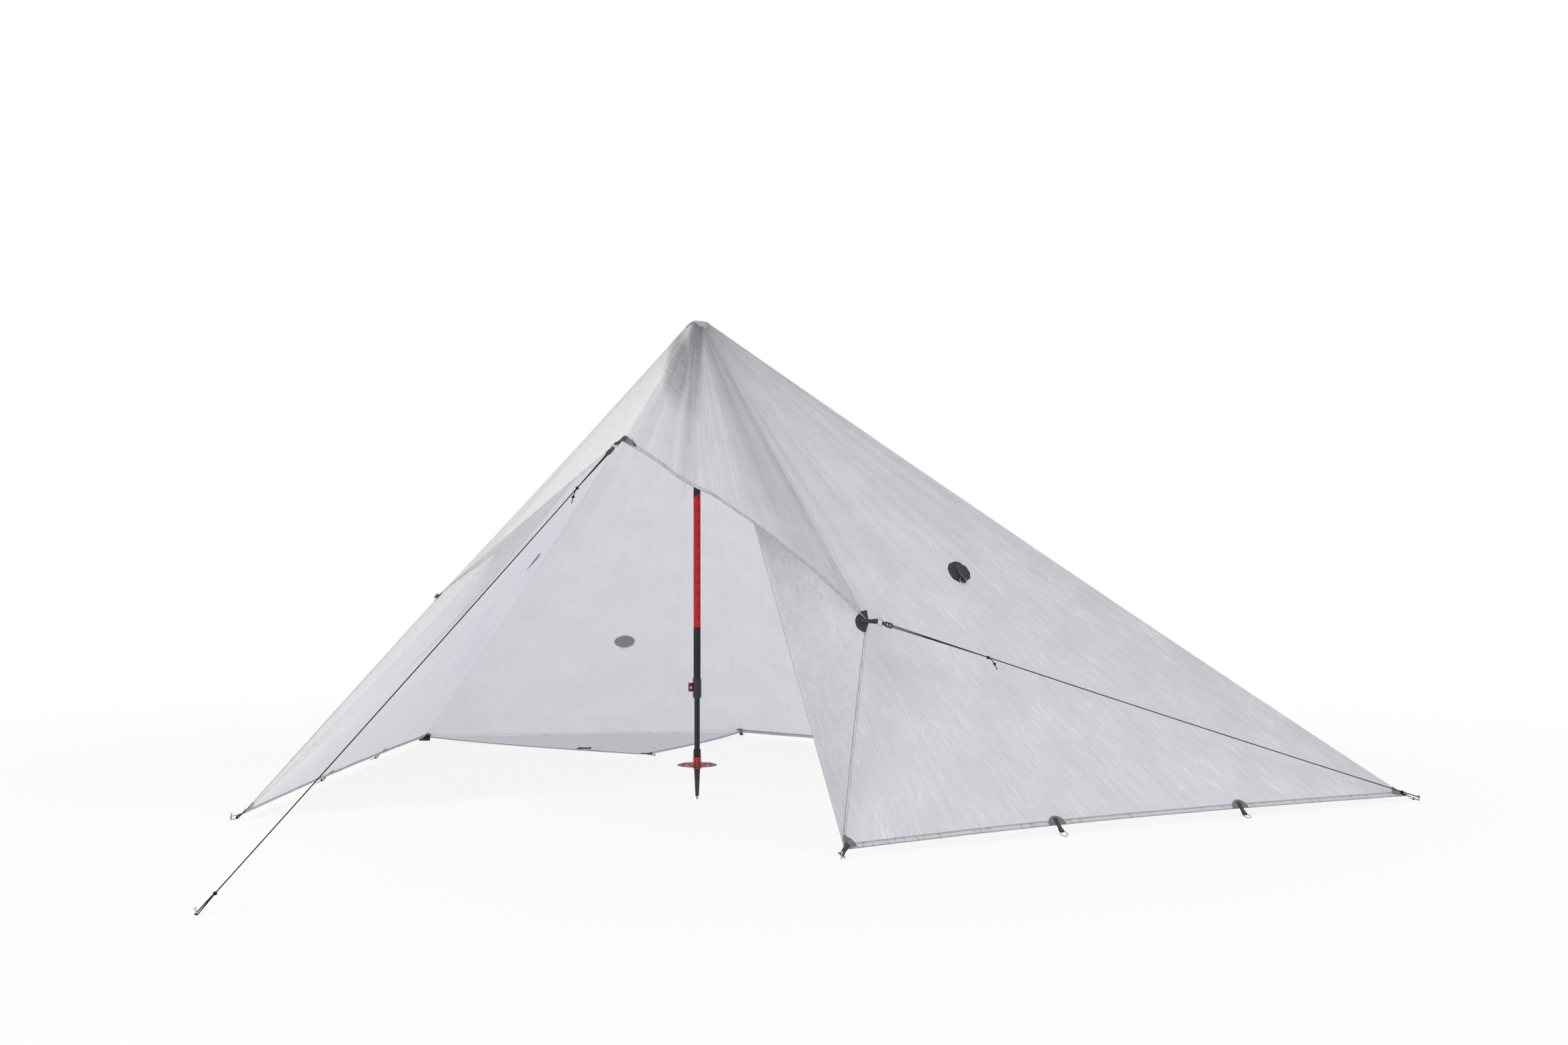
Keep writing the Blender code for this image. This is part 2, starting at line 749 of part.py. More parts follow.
def line_lock(name, ring_far, direction, side):
    """Cord adjuster: a nose that holds the ring and a plate with two slots.

    Local X runs down the guyline, Y is the ring's hinge line and Z is square to both.
    """
    frame = frame_at(ring_far, direction, direction.cross(side))
    nose_out = LOOP_OUT_R
    nose_ring = [
        (nose_out * cos(2 * pi * step / 16), nose_out * sin(2 * pi * step / 16))
        for step in range(16)
    ]
    reach = LOOP_IN_R / cos(pi / 12)
    nose_hole = [
        (reach * cos(2 * pi * step / 12), reach * sin(2 * pi * step / 12)) for step in range(12)
    ]
    nose = plate_mesh("nose", [nose_ring, nose_hole], LOCK_NOSE_W)
    nose.transform(Matrix.Rotation(pi / 2, 4, "X"))
    near = LOOP_IN_R + LOOP_WALL / 2
    half = LOCK_W / 2
    corner = half * 0.45
    body = [
        (near, -LOCK_NOSE_W / 2),
        (near + corner, -half),
        (LOCK_L - corner, -half),
        (LOCK_L, -half + corner),
        (LOCK_L, half - corner),
        (LOCK_L - corner, half),
        (near + corner, half),
        (near, LOCK_NOSE_W / 2),
    ]
    slots = []
    for place in (0.42, 0.72):
        x = LOCK_L * place
        wide, long = LOCK_L * 0.075, half * 0.62
        slots.append([(x - wide, -long), (x + wide, -long), (x + wide, long), (x - wide, long)])
    plate = plate_mesh("plate", [body] + slots, LOCK_T)
    mesh = union(plate, [nose], name)
    place_mesh(name, mesh, BLACK, frame)
    return frame


def strand(points, radius=CORD_R):
    return tube_mesh("strand", points, radius)


def knot_mesh(centre, direction):
    """Overhand knot as one lump, longer along the cord."""
    bm = bmesh.new()
    shape = frame_at(centre, direction, Vector((0.1, 0.2, 1.0))) @ Matrix.Diagonal(
        (1.35, 1.0, 0.95, 1.0)
    )
    bmesh.ops.create_uvsphere(bm, u_segments=12, v_segments=8, radius=KNOT_R, matrix=shape)
    return bmesh_to_mesh("knot", bm)


def guyline(name, lock, knot_at, peg_at):
    """One taut cord: two strands from the lock to a knot, one run, and a loop round a peg."""
    exit_point = lock @ Vector((LOCK_L + 1.5 * GAP, 0.0, 0.0))
    side = lock.col[1].xyz
    run = unit(peg_at - exit_point)
    knot_a = exit_point + run * knot_at
    knot_b = peg_at - run * PEG_LOOP_L
    cross = unit(run.cross(UP))
    loop_r = PEG_R + CORD_R + 2 * GAP
    near = exit_point + side * STRAND_SPREAD
    main = [near, near.lerp(knot_a, 0.5), knot_a, knot_a.lerp(knot_b, 0.5), knot_b]
    level = unit(Vector((run.x, run.y, 0.0)))
    steps = 8
    for step in range(steps + 1):
        angle = -pi / 2 + pi * step / steps
        main.append(peg_at + level * loop_r * cos(angle) + cross * loop_r * sin(angle))
    main.append(knot_b.lerp(main[-1], 0.12) + cross * CORD_R * 1.6)
    far = exit_point - side * STRAND_SPREAD
    down = unit(run * 0.5 - UP)
    tail = [knot_a, knot_a + down * 0.008, knot_a + down * 0.015 + run * 0.004]
    tools = [
        strand([far, far.lerp(knot_a, 0.5), knot_a]),
        knot_mesh(knot_a, run),
        knot_mesh(knot_b, run),
        strand(tail, CORD_R * 0.9),
    ]
    place_mesh(name, union(strand(main), tools, name), CORD)


def pole():
    """Two-section trekking pole with a lever clamp."""
    point = [
        (0.0, POINT_L),
        (0.0032, POINT_L),
        (0.0032, POINT_L * 0.55),
        (0.0026, 0.0004),
        (0.0022, 0.0),
        (0.0, 0.0),
    ]
    turned("pole_point", point, STEEL, 16)
    seat = 0.0032 + GAP
    sleeve = [
        (SLEEVE_R * 0.9, COLLAR_TOP - 0.022),
        (SLEEVE_R * 0.9, SLEEVE_TOP),
        (SLEEVE_R, SLEEVE_TOP),
        (SLEEVE_R, SLEEVE_TOP - 0.006),
        (0.0046, POINT_L * 0.75),
        (0.0040, POINT_L * 0.60),
        (seat, POINT_L * 0.60),
        (seat, POINT_L + GAP),
        (0.0, POINT_L + GAP),
        (0.0, COLLAR_TOP - 0.022),
    ]
    turned("tip_sleeve", sleeve, BLACK, 24)
    basket()
    top = LOWER_SHAFT_TOP
    bush = UPPER_SHAFT_R - UPPER_SHAFT_WALL - GAP
    shaft = [
        (0.0, top),
        (bush - 0.001, top),
        (bush, top - 0.001),
        (bush, top - BUSH_L),
        (LOWER_SHAFT_R, top - BUSH_L - 0.002),
        (LOWER_SHAFT_R, COLLAR_TOP),
        (LOWER_SHAFT_R + 0.0022, COLLAR_TOP - 0.001),
        (LOWER_SHAFT_R + 0.0026, BASKET_TOP + GAP + 0.002),
        (LOWER_SHAFT_R + 0.0012, BASKET_TOP + GAP),
        (0.0, BASKET_TOP + GAP),
    ]
    turned("lower_shaft", shaft, BLACK, 24)
    wall = UPPER_SHAFT_R - UPPER_SHAFT_WALL
    foot = CLAMP_BOTTOM + CLAMP_SEAT
    roof = GRIP_TOP - 0.060
    upper = [
        (UPPER_SHAFT_R, roof),
        (UPPER_SHAFT_R, foot),
        (wall, foot),
        (wall, roof),
    ]
    turned("upper_shaft", upper, RED, 32)
    clamp(foot)
    grip(roof)


def basket():
    """Trail basket: a hub round the sleeve and a scalloped, pierced skirt."""
    hub_in = SLEEVE_R * 0.9 + GAP
    hub = cylinder(hub_in + BASKET_HUB_WALL, BASKET_TOP - SLEEVE_TOP - GAP,
                   Matrix.Translation((0, 0, (BASKET_TOP + SLEEVE_TOP + GAP) / 2)), 24)
    lobes = 6
    rim = []
    for step in range(lobes * 8):
        angle = 2 * pi * step / (lobes * 8)
        radius = BASKET_R * (0.965 + 0.035 * cos(lobes * angle))
        rim.append((radius * cos(angle), radius * sin(angle)))
    outlines = [rim]
    for index in range(lobes):
        middle = 2 * pi * (index + 0.5) / lobes
        outlines.append(window(middle, BASKET_R * 0.34, BASKET_R * 0.80, pi / lobes * 0.62))
    skirt = plate_mesh("skirt", outlines, BASKET_T)
    skirt.transform(Matrix.Translation((0, 0, SLEEVE_TOP + BASKET_SKIRT_UP)))
    mesh = union(hub, [skirt], "basket")
    part = place_mesh("basket", mesh, RED)
    bore = cylinder(hub_in, BASKET_TOP - SLEEVE_TOP + 0.01,
                    Matrix.Translation((0, 0, (BASKET_TOP + SLEEVE_TOP) / 2)), 24)
    cut(part, bore, "basket_bore")


def window(middle, inner, outer, half):
    """Rounded opening between two spokes."""
    steps = 4
    outline = []
    for step in range(steps + 1):
        angle = middle - half + 2 * half * step / steps
        outline.append((outer * cos(angle), outer * sin(angle)))
    for step in range(steps + 1):
        angle = middle + half * 0.55 - 2 * half * 0.55 * step / steps
        outline.append((inner * cos(angle), inner * sin(angle)))
    return outline


EAR_FRONT = -0.0050
EAR_T = 0.0036
EAR_OUT = CLAMP_R + 0.0090
EAR_H = 0.014
SCREW_X = -(CLAMP_R + 0.0046)
SCREW_R = 0.0016
SCREW_HEAD_R = 0.0032
SCREW_HEAD_T = 0.0022
HUB_R = 0.0050
HUB_X = -(CLAMP_R + 0.0068)
HUB_Y = EAR_FRONT + EAR_T + GAP + HUB_R
LEVER_T = 0.0036
LEVER_H = 0.022


def clamp(shaft_foot):
    """Clamp sleeve with an ear for its screw, the screw, and the cam lever."""
    lower_in = LOWER_SHAFT_R + GAP
    upper_in = UPPER_SHAFT_R + GAP
    seat = shaft_foot - GAP
    profile = [
        (CLAMP_R, CLAMP_TOP),
        (CLAMP_R, CLAMP_BOTTOM + CLAMP_SEAT / 4),
        (CLAMP_R - CLAMP_CHAMFER, CLAMP_BOTTOM),
        (lower_in, CLAMP_BOTTOM),
        (lower_in, seat),
        (upper_in, seat),
        (upper_in, CLAMP_TOP),
    ]
    sleeve = turned("clamp_body", profile, BLACK, 28)
    middle = (CLAMP_BOTTOM + CLAMP_TOP) / 2
    ear_in = CLAMP_R - CLAMP_WALL * 0.75
    ear = box(
        (-(ear_in + EAR_OUT) / 2, EAR_FRONT + EAR_T / 2, middle),
        (EAR_OUT - ear_in, EAR_T, EAR_H),
    )
    lug = sleeve.modifiers.new("ear", "BOOLEAN")
    lug.operation = "UNION"
    lug.solver = "EXACT"
    lug.object = helper_object("clamp_ear", ear)
    slab = CLAMP_TOP - CLAMP_BOTTOM
    slant = box((0.0, 0.0, 0.0), (slab, slab, slab))
    slant.transform(
        Matrix.Translation((0.0, 0.0, CLAMP_TOP + slab / 2 - CLAMP_SLANT_DROP))
        @ Matrix.Rotation(CLAMP_SLANT, 4, "Y")
    )
    cut(sleeve, slant, "clamp_slant")
    axis = Matrix.Translation((SCREW_X, EAR_FRONT, middle)) @ Matrix.Rotation(pi / 2, 4, "X")
    cut(sleeve, cylinder(SCREW_R + GAP, 0.02, axis, 16), "screw_hole")
    screw_set(axis)
    lever(middle)


def screw_set(axis):
    """Tension screw across the ear, with a hexagon socket in its head. Local Z faces out."""
    overlap = 0.0005
    length = EAR_T + GAP + overlap
    shank = cylinder(SCREW_R, length,
                     axis @ Matrix.Translation((0, 0, GAP + overlap - length / 2)), 16)
    head_at = GAP + SCREW_HEAD_T / 2
    head = cylinder(SCREW_HEAD_R, SCREW_HEAD_T, axis @ Matrix.Translation((0, 0, head_at)), 20)
    part = place_mesh("clamp_screw", union(shank, [head], "clamp_screw"), STEEL)
    depth = 0.0015
    socket = cylinder(
        SCREW_R * 1.05,
        2 * depth,
        axis @ Matrix.Translation((0, 0, GAP + SCREW_HEAD_T)),
        6,
    )
    cut(part, socket, "screw_socket")


def lever(middle):
    """Cam lever: a hub on an upright pin behind the ear and an arm that wraps the sleeve."""
    steps = 8
    inner_r = CLAMP_R + 2 * GAP
    outer_r = inner_r + LEVER_T
    start = pi - asin(HUB_Y / outer_r)
    sweep = radians(80)
    flare = 0.0035
    outline = []
    for step in range(steps + 1):
        angle = start - sweep * step / steps
        radius = outer_r + flare * (step / steps) ** 3
        outline.append((radius * cos(angle), radius * sin(angle)))
    for step in range(steps, -1, -1):
        angle = start - sweep * step / steps
        radius = inner_r + flare * (step / steps) ** 3
        outline.append((radius * cos(angle), radius * sin(angle)))
    arm = plate_mesh("arm", [outline], LEVER_H)
    hub = cylinder(HUB_R, LEVER_H, Matrix.Translation((HUB_X, HUB_Y, 0.0)), 20)
    mesh = union(hub, [arm], "clamp_lever")
    mesh.transform(Matrix.Translation((-HUB_X, -HUB_Y, 0.0)))
    place_mesh("clamp_lever", mesh, RED, Matrix.Translation((HUB_X, HUB_Y, middle)))


def grip(shaft_top):
    """Foam grip with finger swells and a domed head, bored for the shaft."""
    bore = UPPER_SHAFT_R + GAP
    length = GRIP_TOP - GRIP_BOTTOM
    outer = []
    for step in range(5):
        angle = pi / 2 * step / 4
        outer.append((GRIP_HEAD_R * sin(angle), GRIP_TOP - 0.008 * (1 - cos(angle))))
    for share, radius in ((0.12, 0.88), (0.22, 1.0), (0.36, 0.90), (0.50, 0.94), (0.64, 0.84),
                          (0.80, 0.88), (0.95, 0.80)):
        outer.append((GRIP_R * radius, GRIP_TOP - length * share))
    outer += [(bore + 0.0016, GRIP_BOTTOM), (bore, GRIP_BOTTOM)]
    outer += [(bore, shaft_top + GAP), (0.0, shaft_top + GAP)]
    turned("grip", outer, FOAM, 24)
    wrist_strap()


def wrist_strap():
    """Webbing loop that hangs beside the grip."""
    middle = (GRIP_TOP + GRIP_BOTTOM) / 2
    wide, tall = STRAP_HALF_WIDE, STRAP_HALF_TALL
    near = -(GRIP_R * 0.94 + GAP)
    steps = 32
    outlines = []
    for shrink in (0.0, STRAP_T):
        outlines.append([
            (
                near - wide + (wide - shrink) * cos(2 * pi * step / steps),
                (tall - shrink) * sin(2 * pi * step / steps),
            )
            for step in range(steps)
        ])
    mesh = plate_mesh("wrist_strap", outlines, STRAP_W)
    mesh.transform(Matrix.Translation((0, 0, middle)) @ Matrix.Rotation(pi / 2, 4, "X"))
    place_mesh("wrist_strap", mesh, CORD)


def sheet():
    for panel in PANELS.values():
        panel.build()
    ground_flap()
    apex_cap()


def ground_ties():
    """Tie-outs that are pegged down, each with its ring and peg."""
    pegged = {}
    for label, panel, foot, beside, sink in (
        ("door_right", "wall_right", RIGHT_DOOR_FOOT, RIGHT_CORNER, 0.0),
        ("corner_left", "wall_left", LEFT_CORNER, BACK_LEFT_FOOT, LAP_OFFSET),
    ):
        spread = unit(unit(APEX - foot) + unit(beside - foot))
        frame = face_frame(panel, foot, -spread, sink)
        angle = level_ring_angle(frame)
        tie_out("tie_" + label, frame, FOOT_PATCH_R, 34.0)
        loose_ring("ring_" + label, frame, angle)
        pegged[label] = peg_through("peg_" + label, frame, angle, TALL_PEG_H)
    frame = ridge_frame(RIGHT_CORNER)
    angle = ground_ring_angle(frame)
    tie_out("tie_corner_right", frame, CORNER_PATCH_R, 24.0)
    loose_ring("ring_corner_right", frame, angle)
    pegged["corner_right"] = peg_through("peg_corner_right", frame, angle)
    for label, foot in (("back_left", BACK_LEFT_FOOT), ("back_right", BACK_RIGHT_FOOT)):
        frame = ridge_frame(foot)
        angle = ground_ring_angle(frame)
        tie_out("tie_" + label, frame, PATCH_R, 40.0, angle)
        pegged[label] = peg_through("peg_" + label, frame, angle)
    flap = frame_at(FLAP_TIP + Vector((0, 0, SHEET_T / 2 + 2 * GAP)), Vector((0.75, -0.66, 0)),
                    Vector((0, 0, 1)))
    angle = ground_ring_angle(flap)
    tie_out("tie_flap_tip", flap, PATCH_R, 40.0, angle)
    pegged["flap_tip"] = peg_through("peg_flap_tip", flap, angle, FLAP_PEG_H)
    return pegged


def hem_ties():
    """Tie-outs along the hem that are left loose, with their rings on the ground."""
    for label, panel, u in (
        ("right_1", "wall_right", 0.345),
        ("right_2", "wall_right", 0.675),
        ("left_1", "wall_left", 0.619),
        ("left_2", "wall_left", 0.307),
    ):
        frame = hem_frame(panel, u)
        tie_out("tie_" + label, frame)
        loose_ring("ring_" + label, frame, ground_ring_angle(frame))
    for label, u in (("rear_1", 0.36), ("rear_2", 0.70)):
        frame = hem_frame("wall_back_right", u)
        tie_out("tie_" + label, frame, ring_angle=ground_ring_angle(frame))
    hem = unit(FLAP_TIP - BACK_LEFT_FOOT)
    across = unit(Vector((0, 0, 1)).cross(hem))
    spot = FLAP_TIP - hem * 0.235 + across * 0.030
    top = FLAP_TIP.z + SHEET_T / 2 + 2 * GAP
    spot.z = top + GAP
    frame = frame_at(spot, hem, UP)
    tie_out("tie_flap_edge", frame, ring_angle=ground_ring_angle(frame, top))


def panel_ties():
    """Tie-outs in the middle of the three walls that can be seen."""
    rest = asin((LOOP_N - PATCH_T - RING_WIRE_R - GAP) / (RING_OFFSET + RING_R))
    right = panel_frame("wall_right", 0.63, 0.51)
    tie_out("tie_panel_right", right, PANEL_PATCH_R, 180.0)
    loose_ring("ring_panel_right", right, -rest)
    for label, panel, u, v in (
        ("panel_left", "wall_left", 0.25, 0.49),
        ("panel_back", "wall_back", 0.445, 0.71),
    ):
        frame = panel_frame(panel, u, v)
        tie_out("tie_" + label, frame, PANEL_PATCH_R, 180.0, -rest)


def raised_ties(pegged):
    """Tie-outs held off the ground, with their line-locks and guylines."""
    nail("peg_front", FRONT_PEG, FRONT_PEG_H, FRONT_PEG_LEAN)
    front_loop = FRONT_PEG + FRONT_LOOP_Z * Vector((-tan(radians(FRONT_PEG_LEAN)), 0.0, 1.0))
    front = ridge_frame(FRONT_POINT, FRONT_PEG - FRONT_POINT)
    tie_out("tie_front", front, PATCH_R, 60.0)
    loose_ring("ring_front", front, 0.0)
    right_loop = pegged["corner_right"] + RIGHT_LOOP_Z * UP
    lapel = face_frame("door_flap_right", RIGHT_LAPEL, right_loop - RIGHT_LAPEL)
    pull = lapel.inverted().to_3x3() @ unit(right_loop - RIGHT_LAPEL)
    angle = atan2(pull.z, pull.x)
    tie_out("tie_lapel_right", lapel, PATCH_R, 40.0)
    loose_ring("ring_lapel_right", lapel, angle)
    nose_offset = (RING_R + sqrt(RING_R ** 2 - (LOCK_NOSE_W / 2) ** 2)) / 2
    for label, frame, turn, knot_at, peg_at in (
        ("front", front, 0.0, FRONT_KNOT_AT, front_loop),
        ("right", lapel, angle, RIGHT_KNOT_AT, right_loop),
    ):
        far = ring_centre(frame, turn) + ring_direction(frame, turn) * nose_offset
        pull = unit(peg_at - far)
        across = frame.col[1].xyz
        side = unit(across - pull * across.dot(pull))
        lock = line_lock("line_lock_" + label, far, pull, side)
        guyline("guyline_" + label, lock, knot_at, peg_at)
    side = SAG["left_corner"][0] - APEX
    foot = APEX + unit(side) * (LEFT_LAPEL - APEX).dot(unit(side))
    left = face_frame("door_flap_left", LEFT_LAPEL, LEFT_LAPEL - foot, LAP_OFFSET)
    tie_out("tie_lapel_left", left, PATCH_R, 40.0, 0.0)


def main():
    sheet()
    pegged = ground_ties()
    hem_ties()
    panel_ties()
    raised_ties(pegged)
    pole()


main()
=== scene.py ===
# %% [markdown]
# # A square tarp pitched over one trekking pole
# The pole, pegs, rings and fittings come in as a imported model, which stays exactly where it is.
# This notebook adds what the eye sees: the cloth in one piece, its hem, patches and webbing, the
# guylines, and a finish for every surface.

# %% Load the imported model
import json
from math import asin, atan2, cos, exp, hypot, pi, radians, sin, sqrt

import bmesh
import bpy
from mathutils import Matrix, Vector, noise
from mathutils.bvhtree import BVHTree

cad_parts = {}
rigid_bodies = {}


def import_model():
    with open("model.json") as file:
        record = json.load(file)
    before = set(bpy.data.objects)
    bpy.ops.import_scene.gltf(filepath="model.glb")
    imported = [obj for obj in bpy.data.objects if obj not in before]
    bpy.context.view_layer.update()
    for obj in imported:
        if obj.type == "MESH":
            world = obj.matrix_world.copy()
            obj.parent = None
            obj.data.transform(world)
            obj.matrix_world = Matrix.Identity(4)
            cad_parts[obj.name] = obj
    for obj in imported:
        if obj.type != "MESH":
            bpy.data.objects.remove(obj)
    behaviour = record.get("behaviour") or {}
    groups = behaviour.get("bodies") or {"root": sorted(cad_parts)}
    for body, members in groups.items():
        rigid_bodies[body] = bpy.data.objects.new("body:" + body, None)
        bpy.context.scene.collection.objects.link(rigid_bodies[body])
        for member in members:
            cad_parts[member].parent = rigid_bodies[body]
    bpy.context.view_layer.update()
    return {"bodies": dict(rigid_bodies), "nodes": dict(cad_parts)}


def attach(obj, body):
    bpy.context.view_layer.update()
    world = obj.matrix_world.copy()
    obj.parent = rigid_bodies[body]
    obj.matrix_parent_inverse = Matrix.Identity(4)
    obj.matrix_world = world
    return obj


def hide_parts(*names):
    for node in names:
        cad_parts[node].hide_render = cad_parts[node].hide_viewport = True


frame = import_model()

UP = Vector((0, 0, 1))
LEVEL = Vector((1, 1, 0))

# %% [markdown]
# ## The camera
# The photograph was taken from low in front of the doorway, with a moderate lens. The apex, the
# pegs and the hem line up with their pixels when the camera stands 5.2 m in front of the pole and
# looks down by about half a degree. Its height is where the two ends of the right hem agree.

# %% Stand the camera where the photographer stood
CAMERA_PLACE = Vector((0.218, -5.2, 0.747))
CAMERA_DIP = radians(0.574)
LENS_MM = 47.64
SENSOR_MM = 36.0


def stand_in_scene(name, data):
    """Put a new object into the scene."""
    made = bpy.data.objects.new(name, data)
    bpy.context.scene.collection.objects.link(made)
    return made


camera = stand_in_scene("camera", bpy.data.cameras.new("camera"))
camera.data.lens = LENS_MM
camera.data.sensor_width = SENSOR_MM
camera.location = CAMERA_PLACE
camera.rotation_euler = (pi / 2 - CAMERA_DIP, 0.0, 0.0)
bpy.context.scene.camera = camera
bpy.context.scene.view_settings.view_transform = "Standard"
print("camera", tuple(CAMERA_PLACE), "lens", LENS_MM, "mm")

# %% [markdown]
# ## Finishes as arithmetic
# A finish is a tree of nodes, and most of its nodes only add or multiply two numbers. So a node's
# output is wrapped in a small class, a shade, whose + - * / each add the Math node that they stand
# for. A finish then reads as a few lines of arithmetic, and the tree is just what it would have
# been when wired by hand.


# %% A shade, and a helper for nodes
class Shade:
    """A number, colour or direction inside a node tree."""

    def __init__(self, socket):
        self.socket = socket
        self.tree = socket.id_data

    def math(self, operation, other=0.0):
        return add_node(self.tree, "Math", 0, {0: self, 1: other}, operation=operation)

    def __add__(self, other):
        return self.math("ADD", other)

    def __sub__(self, other):
        return self.math("SUBTRACT", other)

    def __mul__(self, other):
        return self.math("MULTIPLY", other)

    def __truediv__(self, other):
        return self.math("DIVIDE", other)

    def taken_from(self, other):
        return add_node(self.tree, "Math", 0, {0: other, 1: self}, operation="SUBTRACT")

    def clamped(self):
        """Keep the last result between 0 and 1."""
        self.socket.node.use_clamp = True
        return self

    def spread(self, low, high, to_low=0.0, to_high=1.0):
        """Map from one range to another, clamped."""
        return add_node(self.tree, "MapRange", "Result",
                        {"Value": self, "From Min": low, "From Max": high, "To Min": to_low,
                         "To Max": to_high})


def add_node(tree, kind, out=0, inputs=None, **settings):
    """Add a shader node; inputs hold numbers, colours or shades. Gives one output, or the node."""
    made = tree.nodes.new("ShaderNode" + kind)
    for key, value in settings.items():
        setattr(made, key, value)
    for key, value in (inputs or {}).items():
        if isinstance(value, Shade):
            tree.links.new(value.socket, made.inputs[key])
        else:
            made.inputs[key].default_value = value
    return made if out is None else Shade(made.outputs[out])


# %% [markdown]
# A finish starts empty. Its methods add the few kinds of node that this object needs: noise for
# clouding and fuzz, waves for anything woven or ribbed, a bump from a height, and the shader.

# %% A finish under construction
WAVE_PERIOD = 0.314


class Finish:
    """A node material, from its first node to its shader."""

    def __init__(self, name):
        self.material = bpy.data.materials.new(name)
        self.material.use_nodes = True
        self.tree = self.material.node_tree
        self.tree.nodes.clear()

    def add(self, kind, out=0, inputs=None, **settings):
        return add_node(self.tree, kind, out, inputs, **settings)

    def place(self):
        return self.add("TexCoord", "Object")

    def strip(self, map_name=""):
        return self.add("UVMap", uv_map=map_name)

    def parts(self, place):
        """X, Y and Z of a place."""
        split = self.add("SeparateXYZ", None, {"Vector": place})
        return [Shade(output) for output in split.outputs]

    def vector(self, operation, first, second=None, out="Vector"):
        """Arithmetic on one direction, or on two."""
        inputs = {0: first} if second is None else {0: first, 1: second}
        return self.add("VectorMath", out, inputs, operation=operation)

    def dot(self, place, way):
        return self.vector("DOT_PRODUCT", place, (*way, 0.0), "Value")

    def stretched(self, place, scale, turn=0.0):
        return self.add("Mapping", 0, {"Vector": place, "Scale": scale,
                                       "Rotation": (0, 0, radians(turn))})

    def noise(self, place, scale, detail, roughness=0.5):
        return self.add("TexNoise", "Fac", {"Vector": place, "Scale": scale, "Detail": detail,
                                            "Roughness": roughness})

    def wave(self, place, scale, direction="X"):
        return self.add("TexWave", "Fac", {"Vector": place, "Scale": scale},
                        bands_direction=direction)

    def ribs(self, place, period, direction="X"):
        """Waves that repeat every so many metres."""
        return self.wave(place, WAVE_PERIOD / period, direction)

    def blend(self, share, first, second):
        return self.add("MixRGB", 0, {"Fac": share, "Color1": first, "Color2": second})

    def bump(self, height, strength, distance):
        return self.add("Bump", "Normal", {"Height": height, "Strength": strength,
                                           "Distance": distance})

    def surface(self, colour, roughness, normal=None, **more):
        """The main shader; further sockets are named with _ for a space."""
        inputs = {"Base Color": colour, "Roughness": roughness}
        inputs.update({key.replace("_", " "): value for key, value in more.items()})
        if normal:
            inputs["Normal"] = normal
        return self.add("BsdfPrincipled", 0, inputs)

    def glow(self, colour, **normal):
        return self.add("BsdfTranslucent", 0, {"Color": colour, **normal})

    def mixed(self, share, first, second):
        return self.add("MixShader", 0, {0: share, 1: first, 2: second})

    def done(self, shader):
        """Wire the shader to the output, and give the material."""
        self.add("OutputMaterial", None, {"Surface": shader})
        print(f"finish {self.material.name}: {len(self.tree.nodes)} nodes")
        return self.material


def seen_directly(tree):
    """1 for what reaches the camera straight, in a reflection or through glass."""
    rays = add_node(tree, "LightPath", None)
    straight, mirrored, through = (
        Shade(rays.outputs[f"Is {kind} Ray"]) for kind in ("Camera", "Glossy", "Transmission"))
    return (straight + mirrored + through).clamped()


# %% [markdown]
# ## Helpers for pieces
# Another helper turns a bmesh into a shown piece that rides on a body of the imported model. Much of
# the object is cloth or webbing, and a grid of points is the plain way to make either: a function
# says where each point goes, and where it lies on the flat, uncut material.

# %% Grids of cloth
MERGE = 0.00001


def wrapped_grid(x_count, y_count, place_of):
    """A bmesh grid. place_of(column, row) gives each point's place, and its place laid flat."""
    made = bmesh.new()
    bmesh.ops.create_grid(made, x_segments=x_count, y_segments=y_count, size=0.5)
    flat = made.verts.layers.float_vector.new("flat")
    for vert in made.verts:
        column = round((vert.co.x + 0.5) * x_count)
        row = round((vert.co.y + 0.5) * y_count)
        vert.co, vert[flat] = place_of(column, row)
    return made


def draw_map(made, map_name):
    """Make a UV map from each point's flat place."""
    flat = made.verts.layers.float_vector["flat"]
    uv_map = made.loops.layers.uv.new(map_name)
    for face in made.faces:
        for loop in face.loops:
            loop[uv_map].uv = loop.vert[flat].xy


def strip_grid(rows, map_name, wide):
    """A grid over a list of rows, each a list of points across the strip."""
    run = [0.0]
    for before, after in zip(rows, rows[1:]):
        run.append(run[-1] + (after[-1] - before[-1]).length)
    steps = len(rows[0]) - 1
    made = wrapped_grid(len(rows) - 1, steps, lambda column, row: (
        rows[column][row], (run[column], wide * (1 - row / steps), 0.0)))
    draw_map(made, map_name)
    bmesh.ops.recalc_face_normals(made, faces=made.faces)
    return made


# %% Pieces and places
def show_piece(name, bm, finish, stands_for=(), body="shelter", thickness=0.0, offset=0.0):
    """Turn a bmesh into a piece at the origin that rides on a body, with its own thickness."""
    mesh = bpy.data.meshes.new(name)
    bm.to_mesh(mesh)
    bm.free()
    print(f"{name}: {len(mesh.polygons)} faces")
    mesh.polygons.foreach_set("use_smooth", [True] * len(mesh.polygons))
    mesh.materials.append(finish)
    piece = stand_in_scene(name, mesh)
    if thickness:
        wall = piece.modifiers.new("thickness", "SOLIDIFY")
        wall.thickness, wall.offset = thickness, offset
    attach(piece, body)
    if stands_for:
        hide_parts(*stands_for)
    return piece


def placed(origin, forward, up):
    """Matrix with X along forward, Z as near to up as it can be, and the given origin."""
    x = forward.normalized()
    y = up.cross(x).normalized()
    matrix = Matrix((x, y, x.cross(y))).transposed().to_4x4()
    matrix.translation = origin
    return matrix


def limited(value, low=0.0, high=1.0):
    return max(low, min(high, value))


